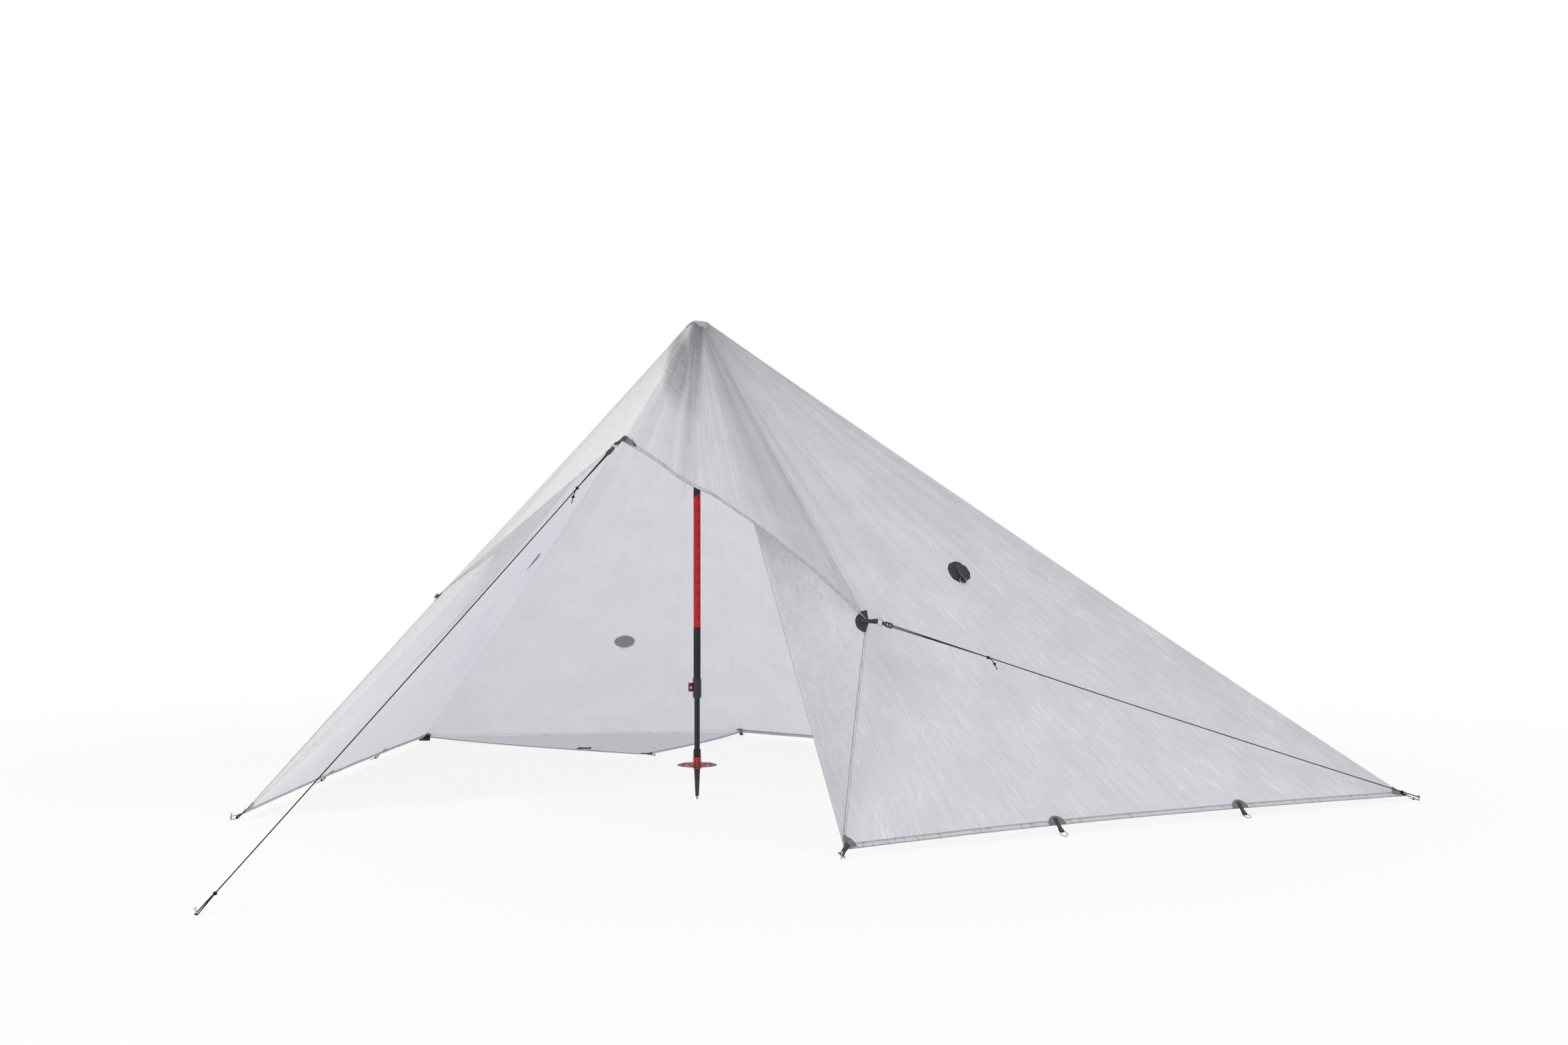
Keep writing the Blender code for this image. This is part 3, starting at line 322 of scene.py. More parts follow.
# %% [markdown]
# ## Floor, backdrop and light
# The photograph is a cut-out on white. The floor is a real matt floor near the tarp, so that it
# takes a shadow, and turns to plain white further out. The world is a plain light dome. To the
# camera, and in reflections, it is white. Three large soft lamps give the cloth its shape: the
# main one stands high on the left, as the bright left side of the tarp shows.

# %% Light dome
PALE_WHITE = (1, 1, 1, 1)
DOME_STRENGTH = 0.57

world = bpy.data.worlds.new("light_dome")
bpy.context.scene.world = world
world.use_nodes = True
tree = world.node_tree
tree.nodes.clear()
dome, white = (add_node(tree, "Background", 0, {"Color": PALE_WHITE, "Strength": strength})
               for strength in (DOME_STRENGTH, 1.0))
both = add_node(tree, "MixShader", 0, {0: seen_directly(tree), 1: dome, 2: white})
add_node(tree, "OutputWorld", None, {"Surface": both})

# %% Floor
FLOOR_R = 40.0
MATT_UP_TO, WHITE_FROM = 1.6, 3.4

studio = Finish("studio_floor")
away = studio.vector("LENGTH", studio.place(), out="Value")
whiteness = seen_directly(studio.tree) * away.spread(MATT_UP_TO, WHITE_FROM, 0.80, 1.0)
matt = studio.add("BsdfDiffuse", 0, {"Color": (0.90, 0.90, 0.90, 1)})
plain = studio.add("Emission", 0, {"Color": PALE_WHITE, "Strength": 1.0})

bm = bmesh.new()
bmesh.ops.create_circle(bm, cap_ends=True, segments=96, radius=FLOOR_R)
mesh = bpy.data.meshes.new("floor")
bm.to_mesh(mesh)
bm.free()
mesh.materials.append(studio.done(studio.mixed(whiteness, matt, plain)))
stand_in_scene("floor", mesh)

# %% Lamps
TARP_MIDDLE = Vector((0.3, 0.0, 0.5))
for lamp_name, place, size, watts in (
    ("key_left", (-3.2, -3.1, 4.0), 2.4, 108.0),
    ("fill_right", (4.4, -2.6, 3.2), 3.0, 55.0),
    ("rim_back", (0.6, 4.6, 3.6), 2.6, 40.0),
):
    lamp = stand_in_scene(lamp_name, bpy.data.lights.new(lamp_name, "AREA"))
    lamp.data.shape = "DISK"
    lamp.data.size = size
    lamp.data.energy = watts
    lamp.location = place
    lamp.rotation_euler = (TARP_MIDDLE - Vector(place)).to_track_quat("-Z", "Y").to_euler()

# %% [markdown]
# ## The guylines
# Two thin braided cords hold the front point and the right lapel. On the real tarp each is one
# length of cord: it leaves the line-lock doubled, runs on single from a knot, and ends in a loop
# tied round a peg. Pulled tight, such a cord is nearly straight, and the eye reads it by its knots.
# A curve with a round bevel is the simplest way to make it, because the curve is its own
# centreline and its length can be measured. For each line the mouth of its lock is noted, the way
# in which its two strands lie side by side there, its two knots, and its peg.

# %% Where each guyline leaves its lock, is knotted and is pegged
CORD_R = 0.0012
STRAND_SPREAD = 0.0022
KNOT_R = 0.0042
GUYLINES = {
    "front": {
        "exit": Vector((-0.17753, -0.56039, 0.85264)),
        "side": Vector((0.80718, -0.59031, 0.0)),
        "knot": Vector((-0.23641, -0.64087, 0.77726)),
        "far_knot": Vector((-0.81638, -1.43352, 0.03486)),
        "peg": Vector((-0.84087, -1.46700, 0.00350)),
    },
    "right": {
        "exit": Vector((0.46408, -0.51077, 0.46494)),
        "side": Vector((0.06737, 0.57487, 0.81547)),
        "knot": Vector((0.68770, -0.42894, 0.38879)),
        "far_knot": Vector((1.75786, -0.03737, 0.02434)),
        "peg": Vector((1.80437, -0.02035, 0.00850)),
    },
}
PEG_R = 0.0015
PEG_LOOP_R = PEG_R + CORD_R + 0.0006
PEG_LOOP_STEPS = 12
CORD_SAG = 0.002

# %% [markdown]
# The cord is black polyester with a fine braid. Two crossed waves along the cord's own UV give
# the plaits, and a few paler threads are mixed in.

# %% Cord finish
braided = Finish("braided_cord")
along = braided.strip()
over, under = (braided.wave(braided.stretched(along, (plaits, 4.0, 1.0)), 1.0, "DIAGONAL")
               for plaits in (420.0, -420.0))
threads = over * under
colour = braided.blend(threads, (0.002, 0.002, 0.003, 1), (0.016, 0.015, 0.018, 1))
cord_finish = braided.done(braided.surface(colour, 0.75, braided.bump(threads, 0.6, 0.0004),
                                           Specular_IOR_Level=0.25))


# %% Make a cord along its points
def cord_curve(name, points, radius=CORD_R):
    """A round cord along a list of points."""
    line = bpy.data.curves.new(name, "CURVE")
    line.dimensions = "3D"
    line.bevel_depth = radius
    line.bevel_resolution = 3
    line.use_fill_caps = True
    spline = line.splines.new("POLY")
    spline.points.add(len(points) - 1)
    for point, co in zip(spline.points, points):
        point.co = (*co, 1.0)
    line.materials.append(cord_finish)
    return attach(stand_in_scene(name, line), "shelter")


def sagging(start, end, count, sag=0.0):
    """Points from start up to, and without, end, with a slight sag between."""
    points = []
    for step in range(count):
        share = step / count
        point = start.lerp(end, share)
        point.z -= sag * 4 * share * (1 - share)
        points.append(point)
    return points


# %% The route of each guyline
def guyline_route(line):
    """From the lock to the knots, round the peg, and back to the far knot."""
    run = (line["peg"] - line["exit"]).normalized()
    across = run.cross(UP).normalized()
    ahead = Vector((run.x, run.y, 0)).normalized()
    route = sagging(line["exit"] + line["side"] * STRAND_SPREAD, line["knot"], 4)
    route += sagging(line["knot"], line["far_knot"], 12, CORD_SAG)
    route += sagging(line["far_knot"], line["peg"] - across * PEG_LOOP_R, 3)
    for step in range(PEG_LOOP_STEPS + 1):
        angle = -pi / 2 + pi * step / PEG_LOOP_STEPS
        route.append(line["peg"] + (ahead * cos(angle) + across * sin(angle)) * PEG_LOOP_R)
    back = line["far_knot"] + across * CORD_R * 1.6
    route += sagging(route[-1], back.lerp(route[-1], 0.12), 3)[1:]
    return route + [back.lerp(route[-1], 0.12)]


for side, line in GUYLINES.items():
    line["route"] = guyline_route(line)
    line["length"] = sum((b - a).length for a, b in zip(line["route"], line["route"][1:]))
    print(f"guyline {side}: {len(line['route'])} points, {line['length']:.3f} m")

# %% [markdown]
# The knots are overhand knots. A real one is a short length of the same cord wound on itself, so
# each is a tube on a trefoil-like path, squeezed along the line, with a tail where the cord ends.

# %% Knots, doubled strand and tails
KNOT_TURN_R = KNOT_R - CORD_R
KNOT_STEPS = 40
TAIL_R = CORD_R * 0.9


def knot_points(centre, direction, size=KNOT_TURN_R):
    """Closed-looking overhand path about the cord's line."""
    frame_here = placed(centre, direction, Vector((0.1, 0.2, 1.0)))
    points = []
    for step in range(KNOT_STEPS + 1):
        t = 2 * pi * step / KNOT_STEPS
        points.append(frame_here @ Vector((
            size * 0.62 * sin(3 * t),
            size * (sin(t) + 2 * sin(2 * t)) / 3,
            size * (cos(t) - 2 * cos(2 * t)) / 3,
        )))
    return points


for side, line in GUYLINES.items():
    knot = line["knot"]
    run = (line["peg"] - line["exit"]).normalized()
    tail_down = (run * 0.5 - UP).normalized()
    far = line["exit"] - line["side"] * STRAND_SPREAD
    bead = knot + run * 0.012 + tail_down * 0.013
    tail = [knot, knot + run * 0.008 + tail_down * 0.004, bead,
            bead + tail_down * 0.014 + run * 0.001]
    pieces = [
        cord_curve(f"guyline_{side}_{part}", points, radius)
        for part, points, radius in (
            ("strand", sagging(far, knot, 6) + [knot], CORD_R),
            ("knot", knot_points(knot, run), CORD_R),
            ("far_knot", knot_points(line["far_knot"], run), CORD_R),
            ("tail", tail, TAIL_R),
            ("tail_knot", knot_points(bead, tail_down, KNOT_TURN_R * 0.85), TAIL_R),
        )
    ]
    cord = cord_curve(f"guyline_{side}_cord", line["route"])
    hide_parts(f"guyline_{side}")

# %% [markdown]
# ## The sheet
# The tarp is one square of translucent composite film. It hangs from the pole's grip in eight
# gores between straight folds, and its spare corner is tucked in as a ground flap. The cloth is
# made as one continuous mesh. A flat grid is wrapped round the apex: its columns are spokes and
# its rows run round the pole. The same rule that shaped the solids says where each point goes, and
# finer folds and wrinkles are added to it.

# %% The points that hold the sheet, each with the sag of its fold
GRIP_HEIGHT = 1.200
APEX = Vector((0.0, 0.0, GRIP_HEIGHT + 0.014))
HELD = {
    "front": (Vector((-0.148, -0.520, 0.885)), 0.006),
    "right_lapel": (Vector((0.409, -0.520, 0.476)), 0.006),
    "right_door": (Vector((0.345, -0.845, 0.0150)), 0.004),
    "right_corner": (Vector((1.773, -0.020, 0.0115)), 0.010),
    "back_right": (Vector((0.081, 1.409, 0.0120)), 0.016),
    "back_left": (Vector((-0.9055, 1.279, 0.0120)), 0.016),
    "left_corner": (Vector((-1.055, -0.320, 0.0127)), 0.040),
    "left_lapel": (Vector((-0.650, 0.002, 0.509)), 0.004),
}
FLAP_TIP = Vector((-0.188, 0.912, 0.0012))
HEM_W = 0.018
HEM_T = 0.0014
SHEET_T = 0.0008
CLEARANCE = 0.0003
CAP_R = 0.0275
TOP_R = CAP_R + 2 * CLEARANCE
LAP_OFFSET = (HEM_T + CLEARANCE) / 2 + 0.0002


def fold_point(name, share):
    """Point on the fold from the apex to a held point, at a share of its length."""
    foot, sag = HELD[name]
    point = APEX.lerp(foot, share)
    point.z -= sag * 4 * share * (1 - share)
    return point


# %% Gores
class Gore:
    """The cloth between two folds: billow, folds, and the bow of its hem."""

    def __init__(self, name, left, right, outward, billow, folds, bow, depth=0.006, skew=1.0,
                 laps=(0, 0)):
        self.name = name
        self.sides = (left, right)
        self.feet = (HELD[left][0], HELD[right][0])
        self.billow = billow
        self.folds = folds
        self.bow = bow
        self.depth = depth
        self.skew = skew
        self.laps = laps
        across = (self.feet[0] - APEX).cross(self.feet[1] - APEX)
        self.normal = (across if across.dot(outward) > 0 else -across).normalized()
        self.width = (self.feet[1] - self.feet[0]).length

    def foot(self, u):
        """Where a spoke meets the straight line between the two held points."""
        return self.feet[0].lerp(self.feet[1], u)

    def start(self, u):
        """Share of the spoke at which the cloth leaves the cap."""
        return TOP_R / self.foot(u).to_2d().length

    def flat(self, u, share):
        return fold_point(self.sides[0], share).lerp(fold_point(self.sides[1], share), u)

    def lap(self, u):
        """How far the cloth stands off where two layers lie together."""
        return LAP_OFFSET * (self.laps[0] * (1 - u) + self.laps[1] * u)

    def point(self, u, v):
        """As the solids have it, with u across and v down from the cap's rim to the hem."""
        begin = self.start(u)
        here = self.flat(u, begin + (1 - begin) * v)
        here += (APEX - here).normalized() * self.bow * 4 * u * (1 - u) * v ** 3
        down = sin(pi * min(1.0, v))
        inward = self.billow * sin(pi * u) * down
        inward += self.depth * (0.5 - 0.5 * cos(2 * pi * self.folds * u ** self.skew)) * down
        return here - self.normal * (inward - self.lap(u))


# %% The eight gores
FRONTWARD = Vector((0, -1, 0))
LEFTWARD = Vector((-1, 0, 0))
# name, the folds on either side, the way out of the tarp, billow, number of folds, bow of the hem
GORES = {
    gore.name: gore
    for gore in (
        Gore("canopy_right", "front", "right_lapel", UP, 0.006, 2, 0.034),
        Gore("door_flap_right", "right_lapel", "right_door", FRONTWARD, 0.002, 1, 0.005),
        Gore("wall_right", "right_door", "right_corner", FRONTWARD, 0.012, 3, 0.012,
             skew=0.877),
        Gore("wall_back_right", "right_corner", "back_right", LEVEL, 0.020, 4, 0.012),
        Gore("wall_back", "back_right", "back_left", Vector((0, 1, 0)), 0.016, 2, 0.0,
             skew=0.856),
        Gore("wall_left", "back_left", "left_corner", LEFTWARD, 0.014, 4, 0.012,
             laps=(0, -1)),
        Gore("door_flap_left", "left_corner", "left_lapel", LEFTWARD, 0.003, 1, 0.005,
             depth=0.002, laps=(1, -1)),
        Gore("canopy_left", "left_lapel", "front", UP, 0.001, 2, 0.012, depth=-0.004,
             laps=(1, 0)),
    )
}
print("gores:", {name: round(gore.width, 3) for name, gore in GORES.items()})

# %% [markdown]
# A pattern drawn on the cloth has to follow the cloth, so every point also gets its place on the
# flat, unrolled square: how far it is from the apex, and at what angle. The eight gores' angles
# add up to nearly a full turn, and are scaled to be one.


# %% Where each spoke lies on the flat cloth
def gore_angle(gore):
    return (gore.feet[0] - APEX).angle(gore.feet[1] - APEX)


TURN = 2 * pi / sum(gore_angle(gore) for gore in GORES.values())
first_angle = 0.0
for gore in GORES.values():
    gore.angle = first_angle
    first_angle += gore_angle(gore) * TURN


def spoke_angle(gore, u):
    """Angle of a spoke on the unrolled cloth."""
    return gore.angle + (gore.foot(u) - APEX).angle(gore.feet[0] - APEX) * TURN


def flat_place(gore, u):
    """Where the foot of a spoke lies on the flat cloth."""
    angle = spoke_angle(gore, u)
    reach = (gore.foot(u) - APEX).length
    return Vector((reach * cos(angle), reach * sin(angle)))


print(f"the gores add up to {360 / TURN:.0f} degrees")

# %% [markdown]
# ### Wrinkles
# Several things wrinkle such a sheet. Pull lines fan out from the apex. The film crinkles where it
# was packed and where two folds meet. The hem is drawn up by its thread, and the long front hem
# dips a little near its left end. Long soft ripples run down each wall. All of them are small moves
# of the points, and all fade out where a fold or a patch holds the cloth.

# %% Where the cloth is crinkled, and where it is pressed flat
CRUSHED_BAND = 0.035
CRUSHED_AT = 0.63


# The crinkle amount also sets how much lighter the film's finish paints the cloth, as a painted
# highlight.
def crushed(gore, u, reach):
    """How crinkled the cloth is: the left side most of all, then the top of the right door."""
    if gore.name == "canopy_left":
        near = (1 - u) * gore.width * reach / CRUSHED_AT
        return 0.85 + 0.15 * exp(-(near / CRUSHED_BAND) ** 2)
    if gore.name == "canopy_right":
        return exp(-(u * gore.width * reach / CRUSHED_AT / (CRUSHED_BAND * 0.3)) ** 2)
    if gore.name == "door_flap_left":
        return 0.75
    if gore.name == "wall_left":
        covered = 0.80 + 0.20 * max(0.0, (reach - 0.96) / 0.67)
        return 0.70 * limited((u - covered + 0.015) / 0.03)
    if gore.name == "door_flap_right":
        return 0.50 * limited((1.60 - reach) / 0.60)
    return 0.0


def pressed_flat(gore, u):
    """Nothing stands off where the left door lies folded back on the wall."""
    if gore.name == "door_flap_left":
        return 0.0
    if gore.name == "wall_left":
        return limited((0.76 - u) / 0.14)
    return 1.0


# %% How far the cloth stands off its smooth shape
PULL_LINES, FINE_PULL_LINES = 0.0030, 0.0016
SOFT_RIPPLES, FINE_RIPPLES = 0.0040, 0.0010
CRINKLES = 0.0022
PUCKER_REACH = 0.06
PUCKER_FRONT, PUCKER = 0.0026, 0.0011


def noise_at(vector, turn, lift):
    return noise.noise(vector * turn + UP * lift)


def ripple(gore, u, v, angle, reach):
    """How far the cloth stands off its smooth shape, in metres."""
    edge = min(1.0, 12 * u * (1 - u))
    spoke = Vector((cos(angle), sin(angle), 0.0))
    top = min(1.0, reach / 0.25)
    calm = 1 - 0.6 * min(1.0, v)
    height = PULL_LINES * noise_at(spoke, 9, reach * 0.7) * top * calm
    height += FINE_PULL_LINES * noise_at(spoke, 17, 3 + reach * 0.6) * top * calm
    height += SOFT_RIPPLES * noise_at(spoke, 3.4 * reach, 7) * sin(pi * min(1.0, v))
    height += FINE_RIPPLES * noise_at(spoke, 17 * reach, 9) * top
    height *= edge
    side = min(1.0, 40 * (1 - u), 12 * u)
    height += CRINKLES * crushed(gore, u, reach) * top * noise_at(spoke, 48 * reach, 5) * side
    hem = max(0.0, 1 - (1 - v) * gore.width / PUCKER_REACH)
    drawn_up = PUCKER_FRONT if gore.name == "canopy_right" else PUCKER
    height += drawn_up * hem * edge * noise.noise(Vector((u * gore.width * 32, gore.angle, 2)))
    return height * pressed_flat(gore, u)


# %% The final place of any point of the sheet
FRONT_HEM_DIP = 0.014
DIP_AT, DIP_HALF = 0.25, 0.08
FRONT_HEM_RISE = 0.028
FRONT_HEM_UNEVEN = 0.004
LAP_EASE = 0.006


def fold_ease(gore, u):
    """Share of the lap between two pressed layers: none right at the fold."""
    return 1 - exp(-min(u, 1 - u) * gore.width / LAP_EASE)


def cloth_point(gore, u, v, angle):
    """Final place of a point of the sheet, and how far it is from the apex."""
    begin = gore.start(u)
    reach = (APEX - gore.flat(u, begin + (1 - begin) * v)).length
    here = gore.point(u, v) - gore.normal * gore.lap(u) * (1 - fold_ease(gore, u))
    if gore.name == "canopy_right":
        slack = FRONT_HEM_DIP * exp(-((u - DIP_AT) / DIP_HALF) ** 2)
        slack -= FRONT_HEM_RISE * sin(pi * u ** 2.2)
        uneven = noise.noise(Vector((u * 14, 0.7, 4.0)))
        slack += FRONT_HEM_UNEVEN * min(1.0, 8 * u * (1 - u)) * uneven
        here += (here - APEX).normalized() * slack * max(0.0, v) ** 6
    hem_calm = 1.0 if v < 0.9 else 1 - 0.5 * (v - 0.9) / 0.1
    return here + gore.normal * ripple(gore, u, v, angle, reach) * hem_calm, reach


# %% [markdown]
# ### The mesh
# Columns are spaced closer near a fold, so that a fold is crisp, and the last two rows are the
# hem. The first rows make the little dome over the grip.

# %% Columns and rows of the grid
COLUMNS_PER_METRE = 84
CROWDING = 0.5
DOME_ROWS = 6
BODY_ROWS = 100
HEM_ROWS = 2
ROWS = DOME_ROWS + BODY_ROWS + HEM_ROWS
DOME_POWER = 2.2
SHEET_TOP = GRIP_HEIGHT - 0.0007

columns = []
for gore in GORES.values():
    count = round(gore.width * COLUMNS_PER_METRE)
    gore.columns = [step / count - CROWDING * sin(2 * pi * step / count) / (2 * pi)
                    for step in range(count)]
    gore.length = (gore.foot(0.5) - APEX).length
    columns += [(gore, u) for u in gore.columns]
columns.append((GORES["canopy_left"], 1.0))
print(f"grid: {len(columns) - 1} columns, {ROWS} rows")


def row_place(gore, row):
    """v down from the cap's rim; negative inside the rim."""
    if row <= DOME_ROWS:
        return row / DOME_ROWS - 1.0
    band = HEM_W / gore.length
    if row > ROWS - HEM_ROWS:
        return 1 - band * (ROWS - row) / HEM_ROWS
    return (1 - band) * (row - DOME_ROWS) / BODY_ROWS


def sheet_vertex(column, row):
    """Place of a grid point, its place on the flat cloth, and how crinkled it is."""
    gore, u = columns[column]
    angle = spoke_angle(gore, u)
    v = row_place(gore, row)
    place, reach = cloth_point(gore, u, max(0.0, v), angle)
    if v < 0:
        share = v + 1.0
        place = Vector((place.x * share, place.y * share,
                        SHEET_TOP - (SHEET_TOP - place.z) * share ** DOME_POWER))
        reach *= share
    return place, (reach * cos(angle), reach * sin(angle), crushed(gore, u, reach))


# %% [markdown]
# ### The ground flap
# Behind the pole the spare corner turns in under the back wall and lies on the ground. It is the
# same cloth, so its grid uses the back wall's columns and is welded to it along the fold. On the
# flat cloth it simply carries on past the fold.

# %% Ground flap points
FLAP_ROWS = 34
FLAP_REACH = 0.985
FLAP_CRINKLE = 0.15
FLAP_WAVE = 0.003
FLAP_CRUMPLE = 0.0012
BACK = GORES["wall_back"]

flat_fold = [flat_place(BACK, u) for u in (0.0, 1.0)]
FOLD_LINE = (BACK.feet[1] - BACK.feet[0]).normalized()
flat_line = (flat_fold[1] - flat_fold[0]).normalized()
flat_out = Vector((flat_line.y, -flat_line.x))
if flat_out.dot(flat_fold[0]) < 0:
    flat_out = -flat_out
FLAT_STRETCH = (flat_fold[1] - flat_fold[0]).length / BACK.width


def flap_vertex(u, v):
    """Place of a point of the ground flap, its place on the flat cloth, and its crinkling."""
    fold = BACK.foot(u)
    here = fold.lerp(FLAP_TIP, FLAP_REACH * v)
    flat_in = (here - BACK.feet[0]) * LEVEL
    t = flat_in.dot(FOLD_LINE)
    flat = (flat_fold[0] + flat_line * t * FLAT_STRETCH
            + flat_out * (flat_in - FOLD_LINE * t).length)
    drop = (fold.z - FLAP_TIP.z) * (1 - (1 - v) ** 3)
    wave = FLAP_WAVE * (1 - u) ** 2 * sin(pi * v) * sin(3 * pi * (1 - u)) ** 2
    crumple = FLAP_CRUMPLE * (1 + noise.noise(Vector((here.x * 14, here.y * 14, 1.5))))
    crumple *= sin(pi * min(1, v * 1.02)) * min(1.0, 8 * u * (1 - u))
    here.z = fold.z - drop + wave + crumple
    return here, (*flat, FLAP_CRINKLE)


# %% Wrap the grids, and weld them into one sheet
back_columns = BACK.columns + [1.0]
flap_bm = wrapped_grid(len(back_columns) - 1, FLAP_ROWS,
                       lambda column, row: flap_vertex(back_columns[column], row / FLAP_ROWS))
flap_mesh = bpy.data.meshes.new("flap")
flap_bm.to_mesh(flap_mesh)
flap_bm.free()
sheet_bm = wrapped_grid(len(columns) - 1, ROWS, sheet_vertex)
sheet_bm.from_mesh(flap_mesh)
bpy.data.meshes.remove(flap_mesh)
bmesh.ops.remove_doubles(sheet_bm, verts=sheet_bm.verts, dist=2 * MERGE)
bmesh.ops.recalc_face_normals(sheet_bm, faces=sheet_bm.faces)
draw_map(sheet_bm, "flat_cloth")
print("sheet:", len(sheet_bm.verts), "points,", len(sheet_bm.faces), "faces,",
      round(sum(face.calc_area() for face in sheet_bm.faces), 3), "square metres")

# %% [markdown]
# ### Painted shade of what shows through
# The film is clear enough that whatever lies close behind it shows as a soft grey shape: the grip
# and its strap near the apex, and the second layer where a door is folded back. A renderer's
# translucent shader spreads light too evenly for that, so this shade is painted. Each point of the
# cloth looks straight into the tarp, a few degrees either way, and notes how close the next thing
# is. The flap that lies on the ground gets painted shade too. The result is kept on the mesh as a
# colour attribute: red for the painted shade of solid things, green for the painted shade of cloth
# and ground, blue for crinkles.

# %% Ways to look into the tarp
SOLID_FADE = 0.50
LOOK_FROM = 0.0025
STRAP_HALF_WIDE = 0.022
STRAP_HALF_TALL = 0.070
STRAP_MIDDLE = (-0.0388, 1.0719)
GLANCE = 0.040
GLANCES = [(0.0, 0.0)] + [(GLANCE * cos(k * pi / 3), GLANCE * sin(k * pi / 3)) for k in range(6)]


def tree_of(*nodes):
    """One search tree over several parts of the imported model."""
    points, faces = [], []
    for node in nodes:
        mesh = frame["nodes"][node].data
        first = len(points)
        points += [vert.co.copy() for vert in mesh.vertices]
        faces += [[first + i for i in polygon.vertices] for polygon in mesh.polygons]
    return BVHTree.FromPolygons(points, faces)


def looks_inward(normal):
    """Level direction into the tarp: straight back from any face that fronts the doorway."""
    if normal.y < 0.02:
        return Vector((0, 1, 0))
    return -Vector((normal.x, normal.y, 0)).normalized()


def closeness(tree, place, heading, fade):
    """How strongly what lies behind shows, from 0 to 1."""
    side = heading.cross(UP)
    total = 0.0
    for across, lift in GLANCES:
        glance = (heading + side * across + UP * lift).normalized()
        distance = tree.ray_cast(place + glance * LOOK_FROM, glance, fade * 3)[3]
        if distance is not None:
            total += exp(-distance / fade)
    return total / len(GLANCES)


# Painted shade of the strap behind the cloth.
def strap_shade(place, heading):
    """The hanging strap is loosely twisted, so the whole of its loop shows as a softer shape."""
    if abs(heading.y) < 0.5:
        return 0.0
    step = -place.y / heading.y
    spot = place + heading * step
    out = hypot((spot.x - STRAP_MIDDLE[0]) / STRAP_HALF_WIDE,
                (spot.z - STRAP_MIDDLE[1]) / STRAP_HALF_TALL)
    return limited((1.65 - out) / 0.75) * exp(-abs(step) / SOLID_FADE)


# %% Note the painted shade of what shows through at each point of the cloth
CLOTH_FADE = 0.22
GROUND_SHADE = 1.5
GROUND_FROM_Y = 0.5
ON_GROUND_Z = 0.02
POLE_WITHIN_X, POLE_ABOVE_Z = 0.30, 0.75
POLE_SHARE = 0.80
SIDEWAYS = 0.62

pole_tree = tree_of("grip", "wrist_strap", "upper_shaft")
cloth_tree = BVHTree.FromBMesh(sheet_bm)
flat_of = sheet_bm.verts.layers.float_vector["flat"]
shade_and_crinkle = sheet_bm.verts.layers.float_color.new("painted_shade_and_crinkle")
outwards = {}
for face in sheet_bm.faces:
    flip = 1 if face.normal.dot(face.calc_center_median() - Vector((0, 0, 0.3))) > 0 else -1
    for vert in face.verts:
        outwards[vert] = outwards.get(vert, Vector()) + face.normal * flip
# Red and green hold painted shade, from solid things and from cloth and ground behind; blue holds
# the crinkle.
for vert in sheet_bm.verts:
    solid = cloth = 0.0
    if vert.co.z > ON_GROUND_Z:
        outward = outwards[vert].normalized()
        heading = looks_inward(outward)
        if abs(vert.co.x) < POLE_WITHIN_X and vert.co.z > POLE_ABOVE_Z:
            solid = closeness(pole_tree, vert.co, heading, SOLID_FADE)
            solid *= POLE_SHARE * (0.7 + 0.3 * min(1.0, (APEX.z - vert.co.z) / 0.12))
            solid = max(solid, strap_shade(vert.co, heading))
        if abs(outward.x) < SIDEWAYS:
            cloth = closeness(cloth_tree, vert.co, heading, CLOTH_FADE)
    # The flap that lies on the ground gets painted shade.
    elif vert.co.y > GROUND_FROM_Y:
        cloth = GROUND_SHADE
    vert[shade_and_crinkle] = (solid, cloth, vert[flat_of].z, 1.0)
print("darkest show-through:", round(max(vert[shade_and_crinkle][0] for vert in sheet_bm.verts), 2))

# %% [markdown]
# ### The film's finish
# The film is a milky laminate. Light goes through it as well as off it, so a matt reflection is
# mixed with a translucent one: the inside of the tarp is lit by the sky outside, and places where
# two layers lie together are darker. Pull lines, short glints along them, laid fibres and packing
# creases are all drawn in the flat cloth's own coordinates, so that they follow the cloth. The pull
# lines and creases are painted light and shade, the glints are painted highlights, and crinkled
# cloth is painted lighter, with painted shade on its facets. A soft-edged sector of the flat cloth
# on the left wall is toned down as painted shade.

# %% What is drawn on the flat cloth
CREASE_HALF = 0.0045
PACKED_WIDTH = 0.324
HEM_RUN = (flat_place(GORES["wall_right"], 1.0) - flat_place(GORES["wall_right"], 0.0)).normalized()
HEM_SQUARE = Vector((-HEM_RUN.y, HEM_RUN.x))
STREAKED_WAY, PULLED_WAY, LEFT_SHADE_WAY = (
    flat_place(GORES[name], u).normalized()
    for name, u in (("wall_right", 0.35), ("canopy_right", 0.5), ("wall_left", 0.48)))

milky = Finish("milky_film")
flat = milky.strip("flat_cloth")
reach = milky.vector("LENGTH", flat, out="Value")
heading = milky.vector("NORMALIZE", flat)


def along_spokes(across, along, detail=3.0, roughness=0.55):
    """Noise in streaks that run out from the apex: across is per radian, along per metre."""
    ring = milky.add("VectorMath", 0, {0: heading, "Scale": across}, operation="SCALE")
    lift = milky.add("CombineXYZ", 0, {"Z": reach * along})
    return milky.noise(milky.vector("ADD", ring, lift), 1.0, detail, roughness)


def laid_fibres(turn):
    """Fine fibres laid one way across the cloth."""
    return milky.noise(milky.stretched(flat, (420.0, 16.0, 1.0), turn), 1.0, 2.0)


def crease_lines(way, phase, wobble):
    """Soft pairs of light and shade square to a direction, a packed width apart, -1 to 1."""
    run = milky.dot(flat, way) + wobble * 0.012
    away = ((run / PACKED_WIDTH + phase).math("FRACT") - 0.5) * (PACKED_WIDTH / CREASE_HALF)
    near = away.math("ABSOLUTE").spread(0.0, 1.0, 4.0, 0.0)
    return away * near * wobble.spread(0.36, 0.60, 0.25, 1.0)


